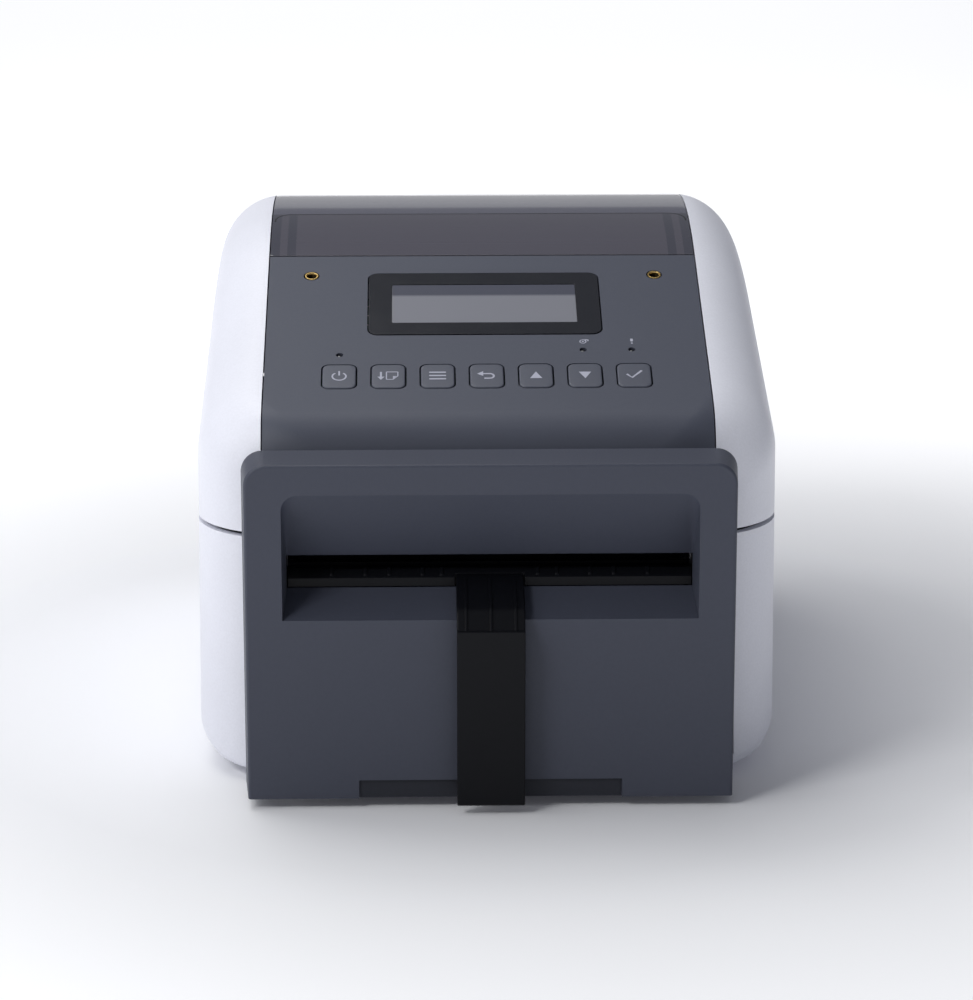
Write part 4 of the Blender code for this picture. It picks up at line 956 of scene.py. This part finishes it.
def symbol_outlines(name):
    """The flat outlines of one key's printed symbol, about the key's middle."""
    turns = [0.62 + i * 0.21 for i in range(25)]
    ring = [(2.1 * math.sin(a), 2.1 * math.cos(a) - 0.2) for a in turns]
    sheet = [(-0.6, 2.1), (2.9, 2.1), (2.9, -0.2), (1.4, -2.0), (-0.6, -2.0)]
    bend = arc((0.9, -0.35), 1.25, 84.0, -84.0, 14.0)
    hook = [(-1.2, 0.9), (0.9, 0.9)] + bend + [(0.9, -1.6), (-0.8, -1.6)]
    return {
        "power": [stroke(ring, 0.5), stroke([(0.0, 0.3), (0.0, 2.7)], 0.5)],
        "feed": [
            stroke([(-2.3, 2.1), (-2.3, -0.6)], 0.6), [(-3.4, -0.5), (-1.2, -0.5), (-2.3, -2.2)],
            *[stroke(edge, 0.36) for edge in zip(sheet, sheet[1:] + sheet[:1])],
            [(2.9, -0.2), (1.4, -0.2), (1.4, -2.0)]],
        "menu": [slab((-2.6, 2.6), (v - 0.33, v + 0.33), 0.2) for v in (-1.8, 0.0, 1.8)],
        "back": [stroke(hook, 0.6), [(-1.1, 2.2), (-1.1, -0.4), (-3.0, 0.9)]],
        "up": [[(-1.9, -1.7), (1.9, -1.7), (0.0, 1.9)]],
        "down": [[(-1.9, 1.7), (1.9, 1.7), (0.0, -1.9)]],
        "ok": [stroke([(-2.3, 0.3), (-0.7, -1.6), (2.4, 2.2)], 0.7)],
    }[name]


def printed(place, x, outlines, lift):
    """A thin printed film from several outlines."""
    return gather(*[prism(place, lift, lift + FILM, [(u + x, v) for u, v in outline])
                    for outline in outlines])


for index, name in enumerate(KEYS):
    piece(name + "_key_cap", key_body(index), key_grey, "key_grey", name + "_key", "key_" + name)
    symbol = printed(KEY_ROW, key_x(index), symbol_outlines(name), KEY_FACE + 0.085)
    piece(name + "_key_symbol", symbol, print_ink, "key_grey", name + "_key")
print("keys with symbols:", len(KEYS))

# %% [markdown]
# ## Lamps and threaded inserts
# A small dark lens fills each lamp hole, a little below the face. Two of them have a printed sign
# above: a roll, and an alert mark. The two inserts are turned brass with a real thread in the bore,
# for holding an accessory.

# %% Lamps, their signs, and inserts
LENS_RADIUS = LAMP_RADIUS - 0.3
for name, index, setback in LAMPS:
    place = on_slope(setback) @ Matrix.Translation((key_x(index), 0.0, 0.0))
    dome = [(LENS_RADIUS, -7.0), (LENS_RADIUS, -0.9)]
    dome += [(LENS_RADIUS * math.cos(a), -0.9 + 0.5 * math.sin(a)) for a in (0.4, 0.8, 1.2)]
    piece(name + "_lens", soften(turned(place, dome, 24)), lamp_lens, "lamp_clear", "cover", name)

roll_sign = [
    stroke(disc((-0.1, 0.0), 0.95, 20) + [(0.85, 0.0)], 0.32), disc((-0.1, 0.0), 0.32, 12),
    stroke([(-0.1, 0.95), (1.7, 0.95)], 0.4), stroke([(1.5, 0.95), (1.5, 0.2)], 0.4)]
alert_sign = [slab((-0.42, 0.42), (-0.1, 1.5), 0.3), slab((-0.32, 0.32), (-1.3, -0.7), 0.2)]
for name, index, outlines in (("roll_sign", 5, roll_sign), ("alert_sign", 6, alert_sign)):
    mark = printed(on_slope(46.6), key_x(index) + 0.2, outlines, 0.02)
    piece(name, mark, print_ink, "panel_grey", "cover")

BRIGHT_BRASS = (0.62, 0.43, 0.16)
insert_brass = drawn_metal("turned_insert_brass", BRIGHT_BRASS, 0.30, (1.0, 0.2, 1.0), 0.2)
# Painted shade: inside the bore, below the panel's face, the brass colour blends to near black.
rise = (insert_brass.along("Z") - INSERT_PLACE.translation.z) * math.cos(PANEL_SLOPE)
lift = rise - (insert_brass.along("Y") - INSERT_PLACE.translation.y) * math.sin(PANEL_SLOPE)
painted_bore_shade = ((-0.1 - lift) / 0.3).clamped()
insert_brass.put("Base Color", insert_brass.mix(painted_bore_shade, BRIGHT_BRASS, (0.020, 0.014, 0.006)))
for side, name in ((-1, "insert_left"), (1, "insert_right")):
    place = INSERT_PLACE @ Matrix.Translation((side * INSERT_X, 0.0, 0.0))
    thread = [(1.32 + 0.16 * math.cos(math.tau * k / 4), -0.55 - 0.125 * k) for k in range(33)]
    rim = [(INSERT_RADIUS, -5.0), (INSERT_RADIUS, -0.15), (2.05, 0.1), (1.75, 0.1), (1.55, -0.15)]
    insert = turned(place, rim + thread + [(1.4, -5.0)], 36, looped=True)
    piece("brass_" + name, soften(insert), insert_brass, "brass", "cover", name)

# %% [markdown]
# ## Bezel and display
# The bezel is a polished frame that stands barely proud of the panel. The display's lens fills
# its opening almost flush, on a module that carries it from below.

# %% Bezel and display
SCREEN_SIZE = (58.6, 22.3)
bezel = prism(BEZEL_PLACE, -1.4, 0.2,
              centred(BEZEL_SIZE, GAP, BEZEL_CORNER), centred(SCREEN_SIZE, 0.0, 0.6))
piece("polished_bezel", soften(bezel, 0.22, 3), gloss_black, "gloss_black", "cover", "display_bezel")
module = prism(BEZEL_PLACE, -6.7, -1.7, centred(SCREEN_SIZE, -3.6, 1.0))
lens_block = prism(BEZEL_PLACE, -1.8, 0.02, centred(SCREEN_SIZE, 0.12, 0.6))
gather(module, lens_block)
piece("display_unit", soften(module, 0.12, 2), display, "screen", "cover", "display_module")

# %% [markdown]
# ## Cutter hood
# The hood is a shallow tray turned on its side: a front edge rounded by a millimetre, sides that
# flare back, and a wide funnel that leads to the slot. The funnel's upper corners are rounded at
# the face and sharpen towards the slot, which is why its side walls look like thin wedges. A
# shallow notch in the lower edge has painted shade in it, carried by a dark plate set inside.

# %% Cutter hood
HOOD_LOW, HOOD_HIGH = limits("cutter_cover")
SIDE_FLARE = 1.4
TOP_FLARE = 0.4
CUTTER_HALF = HOOD_HIGH.x - SIDE_FLARE
CUTTER_TOP = HOOD_HIGH.z - TOP_FLARE
CUTTER_BASE = HOOD_LOW.z
CUTTER_CORNER = 6.5
CUTTER_WALL = 2.4
HOOD_DEPTH = HOOD_HIGH.y - HOOD_LOW.y
HOOD_BACK = FACE + HOOD_DEPTH + 1.0
EDGE = 0.9
NOTCH_HALF = 39.8
RECESS_DEPTH = 14.0
FACE_MOUTH = (62.2, 59.2, 97.8)
SLOT_MOUTH = (SLOT_HALF, 65.5, 75.6)


def hood_ring(depth, inset, base=CUTTER_BASE):
    """The hood's outline at one depth behind its face."""
    share = depth / HOOD_DEPTH
    half, top = CUTTER_HALF + SIDE_FLARE * share - inset, CUTTER_TOP + TOP_FLARE * share - inset
    radius = max(CUTTER_CORNER - inset, 1.0)
    ring = [(half, base)] + arc((half - radius, top - radius), radius, 0.0, 90.0, 6.0)
    return [(u, FACE + depth, v) for u, v in mirrored(ring)]


def funnel(growth, front, rear):
    """The recess around the slot, from in front of the face to the slot's mouth."""
    rows = []
    for depth in (front, rear):
        share = depth / RECESS_DEPTH
        half, low, high = (a + (b - a) * share for a, b in zip(FACE_MOUTH, SLOT_MOUTH))
        radius = 4.2 * (1 - share) + 0.5
        top = arc((half - radius, high - radius), radius, 0.0, 90.0, 9.0)
        rows.append([(u + math.copysign(growth, u), FACE + depth,
                      v + (growth if v > low + 1.0 else -growth))
                     for u, v in mirrored([(half, low)] + top)])
    return loft(rows)


edge_rows = [hood_ring(EDGE * (1 - math.cos(a)), EDGE * (1 - math.sin(a)))
             for a in [math.radians(15 * k) for k in range(7)]]
hood = loft(edge_rows + [hood_ring(HOOD_DEPTH, 0.0)])
hollow = loft([hood_ring(depth, CUTTER_WALL, 0.0) for depth in (CUTTER_WALL, HOOD_DEPTH + 1.0)])
cut(hollow, funnel(CUTTER_WALL, 0.0, RECESS_DEPTH))
cut(
    hood, hollow, funnel(0.0, -1.0, RECESS_DEPTH),
    box((-SLOT_HALF, SLOT_HALF), (FACE + RECESS_DEPTH - 1.0, HOOD_BACK), SLOT_MOUTH[1:]),
    box((-NOTCH_HALF, NOTCH_HALF), (FACE - 1.0, FACE + 1.0), (0.0, CUTTER_BASE + 5.8)),
    box(EVERY, (FACE + CUTTER_WALL, HOOD_BACK), (0.0, CUTTER_BASE)),
)
soften(hood, 0.35, 3, sharp=24.0)
piece("cutter_hood", hood, hood_grey, "cutter_grey", "printer_base", "cutter_cover")
# A dark plate set in the notch carries its painted shade.
notch = box((0.4 - NOTCH_HALF, NOTCH_HALF - 0.4), (FACE + 0.75, FACE + 0.98),
            (CUTTER_BASE + 0.2, CUTTER_BASE + 5.5))
piece("hood_notch_painted_shade_plate", soften(notch), notch_shade_finish, "cutter_grey", "printer_base")

# %% [markdown]
# ## Slot ramp and hanging tongue
# A black ribbed ramp fills the lower half of the slot, and a tongue carries the label out over the
# recess and down in front. Three low ribs run down the tongue to a small step.

# %% Slot ramp and tongue
def from_solid(node, edge, segments=2):
    """A copy of a plain solid with its flat faces rebuilt and its edges rounded."""
    copy = duplicate(frame["nodes"][node])
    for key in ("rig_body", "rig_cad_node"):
        if key in copy:
            del copy[key]
    copy.parent = None
    bm = bmesh.new()
    bm.from_mesh(copy.data)
    bmesh.ops.remove_doubles(bm, verts=bm.verts, dist=2e-6)
    bmesh.ops.dissolve_limit(bm, angle_limit=math.radians(0.5), verts=bm.verts, edges=bm.edges)
    bm.to_mesh(copy.data)
    bm.free()
    return soften(copy, edge, segments)


piece("ribbed_slot_ramp", from_solid("slot_guide", 0.12), black, "black_plastic",
      "printer_base", "slot_guide")

TONGUE_LOW, TONGUE_HIGH = limits("label_chute")
TONGUE_HALF = TONGUE_HIGH.x
STEP_Z = 57.6
tongue_front = TONGUE_LOW.y
tongue_back = tongue_front + 2.6
start = TONGUE_HIGH.y
ramp_base = SLOT_LOW.z
tongue = prism(ALONG_X, -TONGUE_HALF, TONGUE_HALF, rounded(
    (start, ramp_base, 0.0), (start, ramp_base + 3.4, 0.0), (start - 3.0, ramp_base + 3.0, 0.0),
    (tongue_front + 5.0, ramp_base - 3.0, 4.0), (tongue_front + 0.9, STEP_Z, 0.0),
    (tongue_front, STEP_Z, 0.0), (tongue_front, TONGUE_LOW.z, 1.2),
    (tongue_back, TONGUE_LOW.z, 0.6), (tongue_back, STEP_Z - 1.0, 3.0),
    (tongue_back + 5.6, ramp_base - 2.0, 3.0), (start - 6.0, ramp_base, 0.0)))
soften(tongue, 0.7, 3)
tongue_ribs = []
for x in (-7.4, 0.0, 7.4):
    spine = rounded(
        (start - 3.2, ramp_base + 2.6, 0.0), (start - 3.2, ramp_base + 3.2, 0.0),
        (tongue_front + 4.9, ramp_base - 2.5, 4.0), (tongue_front + 0.45, STEP_Z + 0.1, 0.0),
        (tongue_front + 1.4, STEP_Z + 0.1, 0.0), (tongue_front + 6.4, ramp_base - 3.6, 3.0))
    tongue_ribs.append(soften(prism(ALONG_X, x - 0.4, x + 0.4, spine), 0.12, 2))
gather(tongue, *tongue_ribs)
piece("hanging_tongue", tongue, black, "black_plastic", "printer_base", "label_chute")

# %% [markdown]
# ## Rear sockets
# Each socket is a shell with its contacts inside: a centre pin, a tongue, or rows of pins. They
# are what makes the rear believable up close, and they cost little.

# %% Rear sockets
def socket_insides(name, x, z):
    """The contacts that stand inside one socket, about its middle."""
    back, front, short = REAR - 12.0, REAR - 3.0, REAR - 5.0
    if name == "dc_inlet":
        return [rod(ALONG_Y, (x, z), 1.0, back, front, 24)]
    if name == "usb_socket":
        return [box((x - 2.8, x + 2.8), (back, front), (z - 1.3, z + 1.6))]
    if name == "usb_host_socket":
        return [box((x - 5.6, x + 5.6), (back, front), (z + 0.1, z + 1.5))]
    if name == "lan_socket":
        starts = [x - 3.9 + 1.1 * k for k in range(8)]
        return [box((start, start + 0.4), (back, short), (z + 2.2, z + 2.6)) for start in starts]
    pins = [(x + 2.76 * (k - 2), z + 1.4) for k in range(5)]
    pins += [(x + 2.76 * (k - 1.5), z - 1.4) for k in range(4)]
    return [rod(ALONG_Y, spot, 0.5, back, short, 12) for spot in pins]


PLASTIC = (black, "black_plastic")
for name in SOCKETS:
    low, high = limits(name)
    shell = PLASTIC if name in ("dc_inlet", "serial_socket") else (socket_steel, "steel")
    contact = PLASTIC if name.startswith("usb") else (brass, "brass")
    piece(name + "_shell", from_solid(name, 0.2), *shell, "printer_base", name)
    middle = (low + high) / 2
    inside = gather(*socket_insides(name, middle.x, middle.z))
    piece(name + "_contacts", soften(inside, 0.08, 2), *contact, "printer_base")

# %% [markdown]
# ## Base plate, feet and screws
# A grey plate closes the case from below. Four pan-head screws hold it, and the printer stands on
# four rubber feet with a rounded rim.

# %% Base plate, feet and screws
piece("grey_base_plate", from_solid("base_plate", 0.3), inner_grey, "inner_grey",
      "printer_base", "base_plate")
for name in ("foot_front_left", "foot_front_right", "foot_rear_left", "foot_rear_right"):
    low, high = limits(name)
    radius = (high.x - low.x) / 2
    place = Matrix.Translation(((low.x + high.x) / 2, (low.y + high.y) / 2, 0.0))
    rim = [(radius - 3.2, 0.35), (radius - 2.6, 0.0), (radius - 0.9, 0.0), (radius - 0.25, 0.3),
           (radius, 1.0), (radius, high.z)]
    piece("rubber_" + name, soften(turned(place, rim)), rubber, "rubber", "printer_base", name)
PLATE_LOW, PLATE_HIGH = limits("base_plate")
screws = []
SCREW_INSET = (7.0, 42.0)
for x in (PLATE_LOW.x + SCREW_INSET[0], PLATE_HIGH.x - SCREW_INSET[0]):
    for y in (PLATE_LOW.y + SCREW_INSET[1], PLATE_HIGH.y - SCREW_INSET[1]):
        place = Matrix.Translation((x, y, PLATE_LOW.z - 0.1)) @ Matrix.Rotation(math.pi, 4, "X")
        head = turned(place, [(2.9, 0.0), (2.9, 0.5), (2.5, 1.2), (1.6, 1.6), (0.4, 1.7)], 32)
        for turn in (0.4, 0.4 + math.pi / 2):
            arm = place @ Matrix.Rotation(turn, 4, "Z")
            cut(head, prism(arm, 0.8, 3.0, slab((-1.5, 1.5), (-0.32, 0.32), 0.1)))
        screws.append(soften(head, 0.06, 2))
piece("base_plate_screws", gather(*screws), turned_steel, "steel", "printer_base")

# %% [markdown]
# ## Main board
# The board behind the tray is seen from above when the cover and the roll are out. A few parts
# on it give it scale: two large chips, a row of capacitors, a coil and a connector.

# %% Main board and its parts
piece("green_main_board", from_solid("main_board", 0.1), solder_mask, "circuit_board",
      "printer_base", "main_board")
BOARD_LOW, BOARD_HIGH = limits("main_board")
ON_BOARD = Vector((BOARD_LOW.x, BOARD_LOW.y, BOARD_HIGH.z + 0.05))
CHIPS = (
    # x, y, width, depth, height
    (34.0, 7.0, 14.0, 14.0, 1.6), (58.0, 6.0, 10.0, 8.0, 1.4),
    (78.0, 8.0, 7.0, 7.0, 3.0), (100.0, 6.0, 22.0, 6.0, 5.5),
)
chips = []
for x, y, *size in CHIPS:
    start = ON_BOARD + Vector((x, y, 0.0))
    chips.append(soften(box(*zip(start, start + Vector(size))), 0.25, 2))
piece("main_board_chips", gather(*chips), black, "black_plastic", "printer_base")
can = [(2.6, 0.0), (3.1, 0.3), (3.1, 0.9), (2.8, 1.3), (3.1, 1.7),
       (3.1, 7.4), (2.8, 7.8), (0.5, 7.8)]
cans = []
for k in range(4):
    spot = Vector((10.0 + 7.5 * (k % 3), 8.0 + 9.0 * (k // 3), 0.0))
    cans.append(soften(turned(Matrix.Translation(ON_BOARD + spot), can, 32)))
piece("main_board_capacitors", gather(*cans), socket_steel, "steel", "printer_base")

# %% [markdown]
# ## Inside parts
# With the cover up the trough, the guides, the roller, the head and the latch are all in view.
# Their plain solids already have the right shape, so each is rebuilt with rounded edges and given
# its own finish. Gears keep their solids, since a bevel would only blur their teeth.

# %% Rebuilt inside parts
REBUILT = (
    # solid, edge radius, finish, slot, body, name
    ("roll_tray", 0.5, inner_grey, "inner_grey", "printer_base", "label_trough"),
    ("sensor_carriage", 0.3, black, "black_plastic", "media_sensor", "label_sensor"),
    ("guide_left", 0.35, lever_grey, "lever_grey", "left_media_guide", "left_guide"),
    ("guide_right", 0.35, lever_grey, "lever_grey", "right_media_guide", "right_guide"),
    ("side_frame_left", 0.2, sheet_steel, "steel", "printer_base", "left_side_frame"),
    ("side_frame_right", 0.2, sheet_steel, "steel", "printer_base", "right_side_frame"),
    ("frame_crossbar", 0.2, sheet_steel, "steel", "printer_base", "tie_bar"),
    ("stepper_motor", 0.5, sheet_steel, "steel", "printer_base", "feed_motor"),
    ("print_head", 0.3, dark_steel, "steel", "cover", "thermal_head"),
    ("head_bracket", 0.2, dark_steel, "steel", "cover", "head_carrier"),
    ("latch_bar", 0.2, turned_steel, "steel", "cover_latch", "latch_shaft"),
    ("release_lever_left", 0.6, lever_grey, "lever_grey", "cover_latch", "left_release"),
    ("release_lever_right", 0.6, lever_grey, "lever_grey", "cover_latch", "right_release"),
    ("cover_liner", 0.4, inner_grey, "inner_grey", "cover", "panel_liner"),
    ("control_board", 0.1, solder_mask, "circuit_board", "cover", "panel_board"),
    ("cutter_frame", 0.3, dark_steel, "steel", "printer_base", "cutter_chassis"),
    ("fixed_blade", 0.1, dark_steel, "steel", "printer_base", "upper_blade"),
    ("moving_blade", 0.08, blade_steel, "steel", "cutter_blade", "lower_blade"),
    ("cutter_motor", 0.4, socket_steel, "steel", "printer_base", "cutter_drive_motor"),
)
for node, edge, finish, slot, body, name in REBUILT:
    piece(name, from_solid(node, edge), finish, slot, body, node)

# %% [markdown]
# ## Roller and shaft
# The platen is the one inside part that is looked at closely, because the label passes over it.
# It is turned: a rubber sleeve with relieved ends on a ground shaft.

# %% Platen sleeve and shaft
ROLLER_LOW, ROLLER_HIGH = limits("platen_roller")
PLATEN_AXIS = [value / MM for value in JOINTS["platen_turn"]["pos_m"][1:]]
PLATEN_PLACE = Matrix.Translation((0.0, *PLATEN_AXIS)) @ ALONG_X
radius = (ROLLER_HIGH.z - ROLLER_LOW.z) / 2
end = ROLLER_HIGH.x
SHAFT_BORE = 3.4
sleeve_profile = [(SHAFT_BORE, -end), (radius - 0.5, -end), (radius - 0.1, -end + 0.4),
                  (radius, -end + 1.2)]
sleeve_profile += [(r, -h) for r, h in reversed(sleeve_profile)]
piece("rubber_platen_sleeve", soften(turned(PLATEN_PLACE, sleeve_profile, 64)), platen_rubber,
      "roller_rubber", "platen", "platen_roller")
SHAFT_LOW, SHAFT_HIGH = limits("platen_shaft")
shaft_radius = (SHAFT_HIGH.z - SHAFT_LOW.z) / 2
shaft = [(shaft_radius - 0.5, SHAFT_LOW.x), (shaft_radius, SHAFT_LOW.x + 0.5),
         (shaft_radius, SHAFT_HIGH.x - 0.5), (shaft_radius - 0.5, SHAFT_HIGH.x)]
piece("ground_platen_shaft", soften(turned(PLATEN_PLACE, shaft)), turned_steel, "steel",
      "platen", "platen_shaft")

# %% [markdown]
# ## Parts that keep their own solids
# What is left are gears and hinge pins. They only need a finish, set on the object's material
# slot, so the frame's meshes stay untouched.

# %% Finishes for carried parts
CARRIED = {
    "platen_gear": nylon, "idler_gear": nylon, "guide_pinion": nylon,
    "motor_pinion": brass, "cutter_gear": brass,
    "hinge_pin_left": turned_steel, "hinge_pin_right": turned_steel,
}
for node, finish in CARRIED.items():
    solid = frame["nodes"][node]
    if not solid.material_slots:
        solid.data.materials.append(None)
    for slot in solid.material_slots:
        slot.material = finish.look
left_plain = [name for name, solid in frame["nodes"].items()
              if not solid.hide_render and name not in CARRIED]
print("carried:", len(CARRIED), "left plain:", left_plain)

# %% [markdown]
# ## Clearing up
# The skin form that the case was cut from is removed.

# %% Remove the skin form
bpy.data.objects.remove(skin_form)
